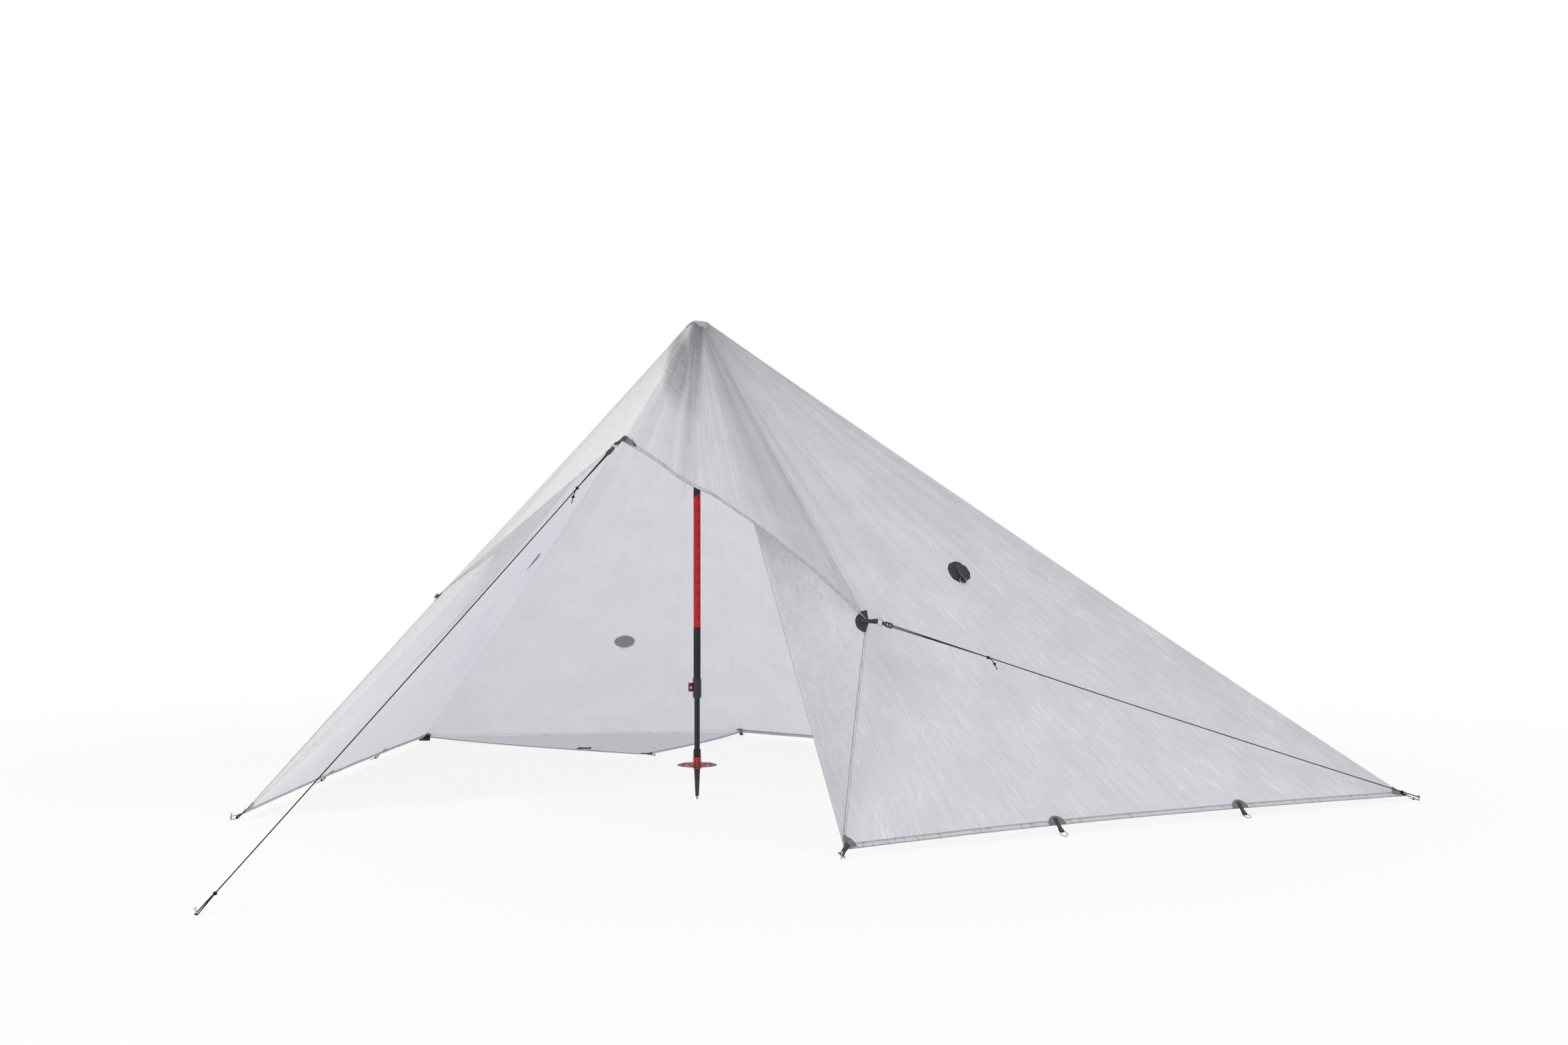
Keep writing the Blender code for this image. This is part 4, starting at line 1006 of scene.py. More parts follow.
# %% Pull lines, glints, fibres and creases, and what was noted on the mesh
pull = along_spokes(22.0, 0.9)
grain = along_spokes(150.0, 10.0, roughness=0.6)
glint = along_spokes(260.0, 26.0, 1.5)
crinkle = milky.noise(flat, 55.0, 5.0, 0.62)
mottle = milky.noise(flat, 7.0, 3.0)
fibres = laid_fibres(38) + laid_fibres(-52)
creases = crease_lines(HEM_RUN, 0.2, mottle) + crease_lines(HEM_SQUARE, 0.5, mottle) * 0.6
streaked = milky.dot(heading, STREAKED_WAY).spread(-0.1, 0.45, 0.35, 1.0)
frontward = milky.dot(heading, PULLED_WAY).spread(-0.55, 0.05, 0.30, 1.0)
# A soft-edged sector of the left wall gets painted shade.
left_wall_shade = milky.dot(heading, LEFT_SHADE_WAY).spread(0.86, 0.95, 0.0, 0.30)
pull_fade = reach.spread(0.15, 1.15, 1.0, 0.06) * frontward
noted = milky.add("Attribute", "Color", attribute_name="painted_shade_and_crinkle")
noted = milky.add("SeparateColor", None, {"Color": noted})
solid, layer, bunched = (Shade(output) for output in noted.outputs)

# %% Film finish: tone and painted highlights, then the painted shade of what shows through, then the two shaders
# Glints are painted highlights: short streaks, mostly on the right wall and away from the apex, and
# flashes on crinkled cloth.
glints = glint.spread(0.585, 0.70) * reach.spread(0.35, 0.9, 0.25, 1.0)
glints = glints * mottle.spread(0.42, 0.60) * streaked.spread(0.45, 0.85)
glints = glints.math("MAXIMUM", crinkle.spread(0.52, 0.66) * bunched)

# The pull lines and creases in the tone are painted light and shade, with more contrast and a
# lighter tone toward the apex, most on the front gores; grain, fibres and mottle are the film's own
# tone.
streaks = (grain - 0.5) * (streaked * 1.2)
tone = (pull - 0.5) * pull_fade * 3.4 + (pull_fade * 0.16 + 0.5)
tone = tone + streaks + (fibres - 1.0) * 0.5 + (mottle - 0.5) * 0.8
tone = ((tone + creases * 0.24).clamped() - left_wall_shade).clamped()
# Crinkled cloth is painted near-white as a painted highlight, with painted shade on its facets.
facet_shade = crinkle.spread(0.46, 0.38).math("MAXIMUM", grain.spread(0.46, 0.36, 0.0, 0.8)) * bunched
colour = milky.blend(tone, (0.595, 0.588, 0.640, 1), (0.80, 0.795, 0.825, 1))
colour = milky.blend(bunched * 0.95, colour, (0.97, 0.97, 0.98, 1))
colour = milky.blend(facet_shade * 0.42, colour, (0.60, 0.60, 0.63, 1))
colour = milky.blend(glints, colour, (0.985, 0.985, 0.99, 1))

# Painted shade of what lies behind darkens both the reflected and the translucent colour.
depth = (solid * (fibres * 1.1 - 0.52)).clamped()
depth = (depth + layer * 0.07).clamped()
colour = milky.blend(depth, colour, (0.05, 0.05, 0.065, 1))
through_colour = milky.blend(tone, (0.70, 0.695, 0.745, 1), (0.79, 0.785, 0.82, 1))
through_colour = milky.blend(bunched, through_colour, (0.96, 0.96, 0.97, 1))
through_colour = milky.blend(depth, through_colour, (0.03, 0.03, 0.04, 1))

height = pull * pull_fade + streaks * 0.40 + crinkle * (bunched * 1.3 + 0.20) + creases * 0.05
relief = milky.bump(height, 1.0, 0.006)
film = milky.surface(colour, (glints * 0.25).taken_from(0.52), relief, Specular_IOR_Level=0.25)
through = milky.glow(through_colour, Normal=relief)
film_finish = milky.done(milky.mixed(bunched.spread(0.72, 0.95, 0.50, 0.30), film, through))

# %% Show the sheet
tarp = show_piece("tarp_sheet", sheet_bm, film_finish, (*GORES, "ground_flap"))

# %% [markdown]
# ### The hem
# All round the square the raw edge is turned in and stitched, so a band 15 mm wide is three layers
# thick: stiffer, denser, and drawn up a little by its thread. It could be a strip painted on the
# sheet, but then the edge would have no thickness. Here the last rows of each gore are made once
# more as a narrow grid, and a Solidify modifier gives it the thickness of the folded cloth.

# %% Hem finish: turned cloth with a line of stitches
HEM_BAND = 0.015
STITCH = 0.0032
SEAM_AT = 0.0122

turned = Finish("turned_hem")
strip = turned.strip("along_hem")
across = turned.parts(strip)[1]
seam = (across - SEAM_AT).math("ABSOLUTE").spread(0.0005, 0.0014, 1.0, 0.0)
thread = seam * turned.ribs(strip, STITCH).spread(0.3, 0.5, 0.45, 1.0)
pucker = turned.noise(turned.stretched(strip, (75.0, 28.0, 1.0)), 1.0, 4.0, 0.6)
raw_edge = across.spread(0.0006, 0.0034, 1.0, 0.0)
inner_edge = across.spread(0.0128, 0.0142)
shade = (thread * 0.35 + raw_edge * 0.62).clamped()
shade = (shade + inner_edge * 0.45).clamped()
# Puckers darken the hem as painted shade of their relief.
shade = (shade + pucker.spread(0.50, 0.66, 0.0, 0.42)).clamped()
# The crinkled hem of the left canopy is painted lighter, with fainter dark lines, as painted light.
x, _, z = turned.parts(turned.place())
left_hem_highlight = x.spread(-0.16, -0.20) * z.spread(0.46, 0.52)
shade = shade * left_hem_highlight.spread(0.0, 1.0, 1.0, 0.30)
colour = turned.blend(left_hem_highlight, (0.86, 0.86, 0.895, 1), (0.97, 0.97, 0.98, 1))
colour = turned.blend(shade, colour, (0.26, 0.26, 0.30, 1))
relief = turned.bump(pucker - seam * 0.4, 0.9, 0.0035)
hem_finish = turned.done(turned.mixed(0.35, turned.surface(colour, 0.5, relief),
                                      turned.glow((0.66, 0.66, 0.70, 1))))

# %% The hem band along the walls and along the ground flap
HEM_STEPS = 4
FLAP_HEM_STEPS = 80
FLAP_HEM_FROM, FLAP_HEM_RUN = 0.004, 0.972


def wall_band(gores):
    """Rows of points across the hem of neighbouring gores, from inside to the edge."""
    rows = []
    for gore in gores:
        last = [1.0] if gore is gores[-1] else []
        for u in gore.columns + last:
            angle = spoke_angle(gore, u)
            rows.append([
                cloth_point(gore, u, 1 - HEM_BAND / gore.length * (1 - k / HEM_STEPS), angle)[0]
                for k in range(HEM_STEPS + 1)])
    return rows


def flap_band(side):
    """Rows of points along one edge of the ground flap."""
    rows = []
    for step in range(FLAP_HEM_STEPS + 1):
        v = FLAP_HEM_FROM + FLAP_HEM_RUN * step / FLAP_HEM_STEPS
        inside = min(0.5, HEM_BAND / (BACK.width * (1 - FLAP_REACH * v)))
        rows.append([flap_vertex(abs(side - inside * (1 - k / HEM_STEPS)), v)[0]
                     for k in range(HEM_STEPS + 1)])
    return rows


for hem_name, rows in (
    ("hem_front", wall_band(list(GORES.values())[:4])),
    ("hem_left", wall_band(list(GORES.values())[5:])),
    ("hem_flap_right", flap_band(0)),
    ("hem_flap_left", flap_band(1)),
):
    show_piece(hem_name, strip_grid(rows, "along_hem", HEM_BAND), hem_finish,
                           thickness=HEM_T)

# %% [markdown]
# ## Patches, webbing and rings
# At every point where the tarp can be held, a patch is bonded to the cloth, and a doubled piece of
# ribbed webbing is tacked on it and carries a steel ring. The patch has to lie on the cloth with
# all its folds. So a round grid is drawn flat, and each of its points is dropped square onto the
# sheet with a ray, which is how a bonded patch takes the shape of what is under it.

# %% Patch finishes
WEAVE_SCALE = 290.0


def patch_finish(name, dark, light, through_share):
    """Bonded patch cloth: fine plain weave, a little uneven, that lets some light through."""
    bonded = Finish(name)
    place = bonded.strip("on_patch")
    weave = bonded.wave(place, WEAVE_SCALE) * bonded.wave(place, WEAVE_SCALE, "Y")
    cloudy = bonded.noise(place, 90.0, 4.0)
    tone = (weave * 0.5 + cloudy.spread(0.35, 0.7, 0.0, 0.6)).clamped()
    shader = bonded.surface(bonded.blend(tone, dark, light), 0.55,
                            bonded.bump(weave + cloudy, 0.5, 0.0005))
    return bonded.done(bonded.mixed(through_share, shader, bonded.glow(light)))


PATCH_FINISHES = {
    "black": patch_finish("black_patch", (0.004, 0.004, 0.006, 1), (0.014, 0.014, 0.018, 1), 0.02),
    "grey": patch_finish("grey_patch", (0.21, 0.21, 0.245, 1), (0.33, 0.33, 0.375, 1), 0.28),
    "cap": patch_finish("apex_patch", (0.50, 0.50, 0.55, 1), (0.70, 0.70, 0.73, 1), 0.35),
}

# %% [markdown]
# The webbing is a narrow black tape with a rib across it about every millimetre, held by two dense
# rows of stitches. Both are drawn along the tape's own UV, in metres, so that they stay in place
# where the tape bends. The rings are bare steel: brushed, and a little dull in spots.

# %% Webbing finish: cross ribs and two bar tacks
TACKS_AT = (0.0035, 0.0150)

ribbed = Finish("ribbed_webbing")
strip = ribbed.strip("along_web")
run = ribbed.parts(strip)[0]
ends = [(run - at).math("ABSOLUTE").spread(0.0009, 0.0012, 1.0, 0.0) for at in TACKS_AT]
tack = ends[0].math("MAXIMUM", ends[1]) * ribbed.ribs(strip, 0.0009, "Y")
weave = ribbed.ribs(strip, 0.0011) * (ribbed.ribs(strip, 0.0016, "Y") * 0.4 + 0.6)
tone = weave * 0.6 + ribbed.noise(strip, 900.0, 2.0) * 0.4
colour = ribbed.blend(tone, (0.004, 0.004, 0.005, 1), (0.024, 0.024, 0.028, 1))
colour = ribbed.blend(tack, colour, (0.06, 0.06, 0.066, 1))
web_finish = ribbed.done(ribbed.surface(colour, 0.7, ribbed.bump(weave + tack, 0.8, 0.0004),
                                        Sheen_Weight=0.2))


# %% Metal finish, used for the rings first
def metal_finish(name, dark, light, roughness):
    """Bare metal with fine brush marks, uneven polish and a few dull spots."""
    metal = Finish(name)
    here = metal.place()
    brush = metal.noise(metal.stretched(here, (900.0, 900.0, 60.0)), 1.0, 3.0)
    spots = metal.noise(here, 420.0, 4.0)
    colour = metal.blend(brush * 0.5 + spots.spread(0.4, 0.7, 0.0, 0.5), dark, light)
    uneven = spots.spread(0.3, 0.75, roughness * 0.7, roughness * 1.5)
    return metal.done(metal.surface(colour, uneven, metal.bump(brush, 0.25, 0.0002),
                                    Metallic=1.0))


ring_steel = metal_finish("ring_steel", (0.20, 0.195, 0.19, 1), (0.46, 0.45, 0.44, 1), 0.34)

# %% [markdown]
# A tie-out's place is a matrix: X runs along its webbing to the ring, and Z stands off the cloth.
# Some sit on a fold and pull down its line, some on a hem and pull down the slope, some on a face
# at a corner, and three in the middle of a wall. A ring that nothing pulls has fallen until it
# rests on the ground or on its patch.

# %% Sizes of a tie-out
PATCH_T = 0.0006
PATCH_WALL = 0.0004
PATCH_R = 0.024
WIDE_PATCH_R = 0.030
DOOR_PATCH_R = 0.034
CORNER_PATCH_R = 0.042
WEB_W = 0.010
WEB_T = 0.0018
WEB_LAYER_T = WEB_T * 0.46
WEB_TAIL = 0.018
WEB_REACH = 0.018
LOOP_WALL = 0.0011
RING_R = 0.009
RING_WIRE_R = 0.001
RING_SINK = (RING_R - sqrt(RING_R ** 2 - (WEB_W / 2) ** 2)) / 2
LOOP_IN_R = RING_SINK + RING_WIRE_R + 1.4 * CLEARANCE
LOOP_N = LOOP_IN_R + LOOP_WALL + CLEARANCE / 6
RING_OFFSET = RING_R - RING_SINK
PANEL_LIFT = 0.0007
FRONT_PEG = Vector((-0.840, -1.467, 0.0))
RIGHT_LOOP = GUYLINES["right"]["peg"]
FLAT_REST = -asin((LOOP_N - PATCH_T - RING_WIRE_R - CLEARANCE) / (RING_OFFSET + RING_R))


# %% Ways to place a tie-out
def tie_place(point, normal, forward, lift=HEM_T / 2 + CLEARANCE):
    return placed(point + normal * lift, forward, normal)


def on_fold(foot, heading=None):
    """On top of a fold that runs down to its held point."""
    forward = (heading if heading else foot - APEX).normalized()
    up = forward.cross(UP.cross(forward).normalized())
    return tie_place(foot, up, forward)


def on_hem(gore, u):
    """Part of the way along a hem, pulling straight down the slope."""
    along = (gore.point(u + 0.02, 1.0) - gore.point(u - 0.02, 1.0)).normalized()
    forward = gore.normal.cross(along)
    return tie_place(gore.point(u, 1.0), gore.normal, -forward if forward.z > 0 else forward)


def on_face(gore, foot, forward, sink=0.0):
    """On a gore's outer face at one of its held points."""
    flat_way = (forward - gore.normal * forward.dot(gore.normal)).normalized()
    return tie_place(foot - gore.normal * sink, gore.normal, flat_way)


def on_panel(gore, u, v):
    """In the middle of a gore, with its ring down the slope."""
    across = gore.point(u + 0.03, v) - gore.point(u - 0.03, v)
    down = gore.point(u, v + 0.03) - gore.point(u, v - 0.03)
    normal = across.cross(down).normalized()
    if normal.dot(gore.normal) < 0:
        normal = -normal
    return tie_place(gore.point(u, v), normal, normal * normal.z - UP, SHEET_T / 2 + PANEL_LIFT)


def fallen(tie, floor=0.0):
    """Turn of a ring that has dropped until it just clears what it lies on."""
    hinge = tie @ Vector((WEB_REACH, 0.0, LOOP_N))
    x_axis, z_axis = tie.col[0].xyz, tie.col[2].xyz
    target = (floor + RING_WIRE_R + CLEARANCE - hinge.z) / (RING_OFFSET + RING_R)
    return asin(limited(target / hypot(x_axis.z, z_axis.z), -1.0)) - atan2(x_axis.z, z_axis.z)


def level(tie):
    return atan2(-tie.col[0].z, tie.col[2].z)


# %% The tie-outs at the feet and corners
wall_right, wall_left, rear = (GORES[k] for k in ("wall_right", "wall_left", "wall_back_right"))
flap_hem = (FLAP_TIP - HELD["back_left"][0]).normalized()
flap_inward = UP.cross(flap_hem).normalized()
flap_top = FLAP_TIP.z + SHEET_T / 2 + 2 * CLEARANCE
ties = {}


def tie_out(label, tie, radius, half, shade, angle=None, sewn=False):
    """Note a tie-out: its place, its patch's radius, half angle and shade, and its ring's turn.

    Unless the turn is given, the ring has fallen to the ground. A sewn ring is one with its loop.
    """
    ties[label] = (tie, radius, half, shade, fallen(tie) if angle is None else angle, sewn)


for label, gore, foot, beside, sink in (
    ("door_right", wall_right, "right_door", "right_corner", 0.0),
    ("corner_left", wall_left, "left_corner", "back_left", LAP_OFFSET),
):
    foot, beside = HELD[foot][0], HELD[beside][0]
    middle = (APEX - foot).normalized() + (beside - foot).normalized()
    tie = on_face(gore, foot, -middle, sink)
    tie_out(label, tie, DOOR_PATCH_R, 34, "grey", level(tie))
tie_out("corner_right", on_fold(HELD["right_corner"][0]), CORNER_PATCH_R, 24, "grey")
for label in ("back_left", "back_right"):
    tie_out(label, on_fold(HELD[label][0]), PATCH_R, 40, "grey", sewn=True)
tie_out("flap_tip", placed(FLAP_TIP + UP * (SHEET_T / 2 + 2 * CLEARANCE),
                           Vector((0.75, -0.66, 0)), UP), PATCH_R, 40, "grey", sewn=True)

# %% The tie-outs along the hems and in the middle of the walls
FLAP_EDGE_FROM_TIP = 0.235
FLAP_EDGE_INWARD = 0.030

for label, gore, u, sewn in (
    ("right_1", wall_right, 0.345, False),
    ("right_2", wall_right, 0.675, False),
    ("left_1", wall_left, 0.619, False),
    ("left_2", wall_left, 0.307, False),
    ("rear_1", rear, 0.36, True),
    ("rear_2", rear, 0.70, True),
):
    tie_out(label, on_hem(gore, u), PATCH_R, 90, "grey", sewn=sewn)
spot = FLAP_TIP - flap_hem * FLAP_EDGE_FROM_TIP + flap_inward * FLAP_EDGE_INWARD
spot.z = flap_top + CLEARANCE
tie = placed(spot, flap_hem, UP)
tie_out("flap_edge", tie, PATCH_R, 90, "grey", fallen(tie, flap_top), True)
for label, gore, u, v, sewn in (
    ("panel_right", wall_right, 0.63, 0.51, False),
    ("panel_left", wall_left, 0.25, 0.49, True),
    ("panel_back", BACK, 0.445, 0.71, True),
):
    tie_out(label, on_panel(gore, u, v), WIDE_PATCH_R, 180, "black", FLAT_REST, sewn)

# %% The tie-outs at the front point and the lapels
front_point = HELD["front"][0]
tie_out("front", on_fold(front_point, FRONT_PEG - front_point), PATCH_R, 60, "grey", 0.0)
lapel = HELD["right_lapel"][0]
tie = on_face(GORES["door_flap_right"], lapel, RIGHT_LOOP - lapel)
pull_way = tie.inverted().to_3x3() @ (RIGHT_LOOP - lapel).normalized()
tie_out("lapel_right", tie, WIDE_PATCH_R, 80, "black", atan2(pull_way.z, pull_way.x))
lapel = HELD["left_lapel"][0]
edge_line = (HELD["left_corner"][0] - APEX).normalized()
foot = APEX + edge_line * (lapel - APEX).dot(edge_line)
tie = on_face(GORES["door_flap_left"], lapel, lapel - foot, LAP_OFFSET)
tie_out("lapel_left", tie, PATCH_R, 40, "black", 0.0, True)
print("tie-outs:", len(ties))

# %% Press each patch onto the cloth
CLIMB = 0.008
DROP_FROM = 0.030
PRESSED = HEM_T / 2 + 0.0002
PANEL_PRESSED = 0.0005
PATCH_RINGS = 8


def dropped(tie, x, y, lift):
    """The cloth's surface under a point of a tie-out's own plane."""
    normal = tie.col[2].xyz
    start = tie @ Vector((x, y, DROP_FROM))
    hit, face_normal, _, _ = cloth_tree.ray_cast(start, -normal, 2 * DROP_FROM)
    if hit is None or (hit - tie @ Vector((x, y, 0.0))).dot(normal) > CLIMB:
        return tie @ Vector((x, y, lift))
    facing = face_normal if face_normal.dot(normal) > 0 else -face_normal
    return hit + facing * lift


def closed_disc(made, outward):
    """Map, close and turn outwards a grid that was wrapped into a disc."""
    draw_map(made, "on_patch")
    bmesh.ops.remove_doubles(made, verts=made.verts, dist=MERGE)
    bmesh.ops.recalc_face_normals(made, faces=made.faces)
    if sum(face.normal.dot(outward) for face in made.faces) < 0:
        bmesh.ops.reverse_faces(made, faces=made.faces)
    return made


def patch_grid(tie, radius, half, ragged):
    """A sector of a disc on the cloth, closed at its middle."""
    steps = max(16, round(half / 3))
    lift = PRESSED if half < 180 else PANEL_PRESSED

    def place_of(column, row):
        angle = pi + radians(half) * (2 * column / steps - 1)
        rim = Vector((cos(angle), sin(angle), 0.0)) * 2.5 + Vector((radius * 99, 0, 0))
        out = radius * row / PATCH_RINGS * (1 + ragged * noise.noise(rim))
        x, y = out * cos(angle), out * sin(angle)
        return dropped(tie, x, y, lift), (x, y, 0.0)

    return closed_disc(wrapped_grid(steps, PATCH_RINGS, place_of), tie.col[2].xyz)


# %% [markdown]
# The loop of webbing could be swept along a curve, but its tail also has to follow the cloth. So
# its side view is drawn once, as a line that goes out, round the ring's wire and back, and a grid
# carries that line across the width of the tape. A ring is a small circle spun about its axis.

# %% Bend the webbing round its ring
WEB_STEPS = 6
HELD_FROM = 0.004
EASE_RUN = 0.006
MOST_RISE = 0.004


def web_points():
    """Side view of the doubled webbing, as one line from tail to loop and back."""
    low, high = PATCH_T + WEB_T * 0.25, PATCH_T + WEB_T * 0.75
    bend = LOOP_IN_R + LOOP_WALL / 2
    points = [(-WEB_TAIL, low), (-0.0135, low), (-0.009, low), (-0.004, low), (0.001, low),
              (0.006, low), (0.010, low * 0.95), (0.0135, low * 0.7)]
    for step in range(15):
        angle = -pi / 2 + radians(225) * step / 14
        points.append((WEB_REACH + bend * cos(angle), LOOP_N + bend * sin(angle)))
    return points + [(0.0115, 0.0040), (0.0085, 0.0029), (0.005, high * 1.08), (0.001, high),
                     (-0.004, high), (-0.009, high), (-0.0135, high), (-WEB_TAIL, high)]


def web_grid(tie):
    """Doubled webbing on a tie-out, following the cloth behind the held point."""
    profile = web_points()
    run = [0.0]
    for before, after in zip(profile, profile[1:]):
        run.append(run[-1] + hypot(after[0] - before[0], after[1] - before[1]))
    normal = tie.col[2].xyz

    def place_of(column, row):
        y = WEB_W * (row / WEB_STEPS - 0.5)
        x, z = profile[column]
        here = tie @ Vector((x, y, z))
        if x < HELD_FROM:
            under = dropped(tie, min(x, -0.0005), y, 0.0)
            rise = (under - tie @ Vector((x, y, 0.0))).dot(normal)
            ease = min(1.0, (HELD_FROM - x) / EASE_RUN)
            here += normal * limited(rise + PRESSED, -MOST_RISE, MOST_RISE) * ease
        return here, (min(run[column], run[-1] - run[column]), y + WEB_W / 2, 0.0)

    made = wrapped_grid(len(profile) - 1, WEB_STEPS, place_of)
    draw_map(made, "along_web")
    bmesh.ops.recalc_face_normals(made, faces=made.faces)
    return made


# %% Spin the rings
def ring_bmesh(tie, angle):
    """A round steel ring: a small circle turned about the ring's axis."""
    along = Vector((cos(angle), 0.0, sin(angle)))
    side = Vector((0.0, 1.0, 0.0))
    centre = Vector((WEB_REACH, 0.0, LOOP_N)) + along * RING_OFFSET
    made = bmesh.new()
    bmesh.ops.create_circle(made, segments=10, radius=RING_WIRE_R,
                            matrix=placed(centre + along * RING_R, along, side))
    bmesh.ops.spin(made, geom=made.verts[:] + made.edges[:], cent=centre, axis=along.cross(side),
                   angle=2 * pi, steps=40, use_merge=True)
    bmesh.ops.transform(made, matrix=tie, verts=made.verts)
    bmesh.ops.recalc_face_normals(made, faces=made.faces)
    return made


# %% Make every patch, loop and ring
RAGGED_ROUND, RAGGED = 0.10, 0.03

for label, (tie, radius, half, shade, angle, sewn) in ties.items():
    ragged = RAGGED_ROUND if half == 180 else RAGGED
    show_piece(f"patch_{label}", patch_grid(tie, radius, half, ragged), PATCH_FINISHES[shade],
               thickness=PATCH_WALL, offset=1.0)
    show_piece(f"webbing_{label}", web_grid(tie), web_finish, [f"tie_{label}"],
               thickness=WEB_LAYER_T)
    ring_body = f"ring_{label}" if f"ring_{label}" in frame["bodies"] else "shelter"
    show_piece(f"steel_ring_{label}", ring_bmesh(tie, angle), ring_steel,
               [] if sewn else [f"ring_{label}"], ring_body)
print("patches, loops and rings made:", 3 * len(ties))

# %% [markdown]
# Two small things lie on the ground inside. The end of the back left corner's webbing is folded
# under the corner and stands up inside it. A little further along, a bare white label is sewn into
# the hem of the ground flap. Both are short strips of cloth that bend a little, so both are grids.

# %% Label finish
woven = Finish("woven_label")
strip = woven.strip("on_strip")
threads = woven.ribs(strip, 0.0005, "DIAGONAL")
colour = woven.blend(threads * 0.4 + woven.noise(strip, 160.0, 3.0) * 0.6,
                     (0.78, 0.78, 0.80, 1), (0.92, 0.92, 0.93, 1))
label_finish = woven.done(woven.surface(colour, 0.6, woven.bump(threads, 0.4, 0.0002)))

# %% Stand the webbing end and the label inside the back
TAB_SIZE = (0.034, 0.020)
LABEL_SIZE = (0.050, 0.016)
LABEL_T = 0.0004
LABEL_FROM_TIP = 0.172
STANDING_STEPS = (14, 6)
STANDING_CURL = 0.0016


def standing_strip(foot, along, lean, size):
    """Rows of a short strip that stands on its long edge, leans back and curls a little."""
    steps, across = STANDING_STEPS
    rows = []
    for step in range(steps + 1):
        x = size[0] * (step / steps - 0.5)
        curl = STANDING_CURL * noise.noise(Vector((x * 90, 1.3, foot.x * 5)))
        rows.append([foot + along * x + UP * size[1] * k / across * cos(lean)
                     + UP.cross(along) * (size[1] * k / across * sin(lean) + curl * k / across)
                     for k in range(across + 1)])
    return rows


tab_foot = HELD["back_left"][0] * LEVEL + Vector((0.002, -0.014, 0.0018))
label_foot = FLAP_TIP - flap_hem * LABEL_FROM_TIP + flap_inward * 0.004
label_foot.z = flap_top + 2 * CLEARANCE
for name, foot, along, lean, size, map_name, finish, thickness in (
    ("webbing_back_left_inside", tab_foot, Vector((1, 0, 0)), 0.5, TAB_SIZE, "along_web",
     web_finish, WEB_T),
    ("label", label_foot, flap_hem, 0.6, LABEL_SIZE, "on_strip", label_finish, LABEL_T),
):
    show_piece(name, strip_grid(standing_strip(foot, along, lean, size), map_name, size[1]),
               finish, thickness=thickness)

# %% [markdown]
# ### The reinforcement over the grip
# All eight folds meet on the end of the grip, where a round patch of cloth keeps the pole from
# wearing through. It is gathered with the cloth, so it has a ruffled rim.

# %% The apex reinforcement
PLEATS = 15
RIM_R = 0.0290
CAP_T = 0.0005
CAP_RINGS = 9
CAP_STEPS = 120
RIM_WAVE = 0.030
RUFFLE = 0.0008


def apex_place(column, row):
    """A point of the round, gathered patch over the end of the grip."""
    angle = 2 * pi * column / CAP_STEPS
    share = row / CAP_RINGS
    out = RIM_R * share * (1 + RIM_WAVE * share * sin(PLEATS * angle + 1.7 * sin(3 * angle)))
    x, y = out * cos(angle), out * sin(angle)
    hit = cloth_tree.ray_cast(Vector((x, y, GRIP_HEIGHT + 0.05)), -UP, 0.2)[0]
    ruffle = RUFFLE * share ** 2 * (1 + sin(PLEATS * angle + 1.3 * sin(2 * angle)))
    top = min((hit.z if hit else SHEET_TOP) + 0.0004 + ruffle, GRIP_HEIGHT + 0.001)
    return (x, y, top), (x, y, 0.0)


show_piece("apex_reinforcement", closed_disc(wrapped_grid(CAP_STEPS, CAP_RINGS, apex_place), UP),
           PATCH_FINISHES["cap"], ["apex_cap"], thickness=CAP_T, offset=1.0)

# %% [markdown]
# ## The pole
# A two-section trekking pole stands in the middle. Its shafts, clamp, basket and tip are rigid, so
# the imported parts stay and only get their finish: moulded plastic has a fine texture and scuffs,
# metal has brush marks, and noise in the part's own coordinates gives both. The foam grip and the
# wrist strap are soft, and are made again here: the grip by turning its profile, the strap as a
# loop of webbing.

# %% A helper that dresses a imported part, and the moulded parts
def dress(finish, *nodes):
    """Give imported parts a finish."""
    for node in nodes:
        slots = frame["nodes"][node].data.materials
        slots.clear()
        slots.append(finish)


def moulded_finish(name, dark, light, roughness):
    """Moulded plastic: fine spark-eroded texture, and scuffs that are paler and duller."""
    moulded = Finish(name)
    here = moulded.place()
    scuff = moulded.noise(here, 120.0, 5.0)
    colour = moulded.blend(scuff.spread(0.42, 0.72), dark, light)
    uneven = scuff.spread(0.35, 0.75, roughness * 0.8, min(1.0, roughness * 1.45))
    pits = moulded.bump(moulded.noise(here, 1400.0, 2.0), 0.25, 0.00015)
    return moulded.done(moulded.surface(colour, uneven, pits))


dress(moulded_finish("black_moulding", (0.010, 0.010, 0.012, 1), (0.028, 0.028, 0.031, 1), 0.42),
      "line_lock_front", "line_lock_right", "tip_sleeve", "clamp_body")
dress(moulded_finish("red_moulding", (0.42, 0.022, 0.018, 1), (0.56, 0.045, 0.030, 1), 0.33),
      "clamp_lever")
dress(metal_finish("screw_steel", (0.30, 0.30, 0.30, 1), (0.52, 0.52, 0.51, 1), 0.28),
      "clamp_screw")
dress(metal_finish("carbide", (0.34, 0.32, 0.30, 1), (0.62, 0.60, 0.57, 1), 0.40), "pole_point")
dress(metal_finish("peg_brass", (0.50, 0.36, 0.15, 1), (0.80, 0.62, 0.33, 1), 0.30),
      *(node for node in frame["nodes"] if node.startswith("peg_")))

# %% [markdown]
# The basket is moulded from two plastics: a black ribbed skirt, with a red crown round the hub and
# red tips. Both edges are plain functions of the distance and the angle about the pole's axis.

# %% Basket finish
CROWN_R = 0.0195
CROWN_POINTS = 8.0
TIPS_R = 0.0340
TIPS = 6.0
RIBS = 54.0

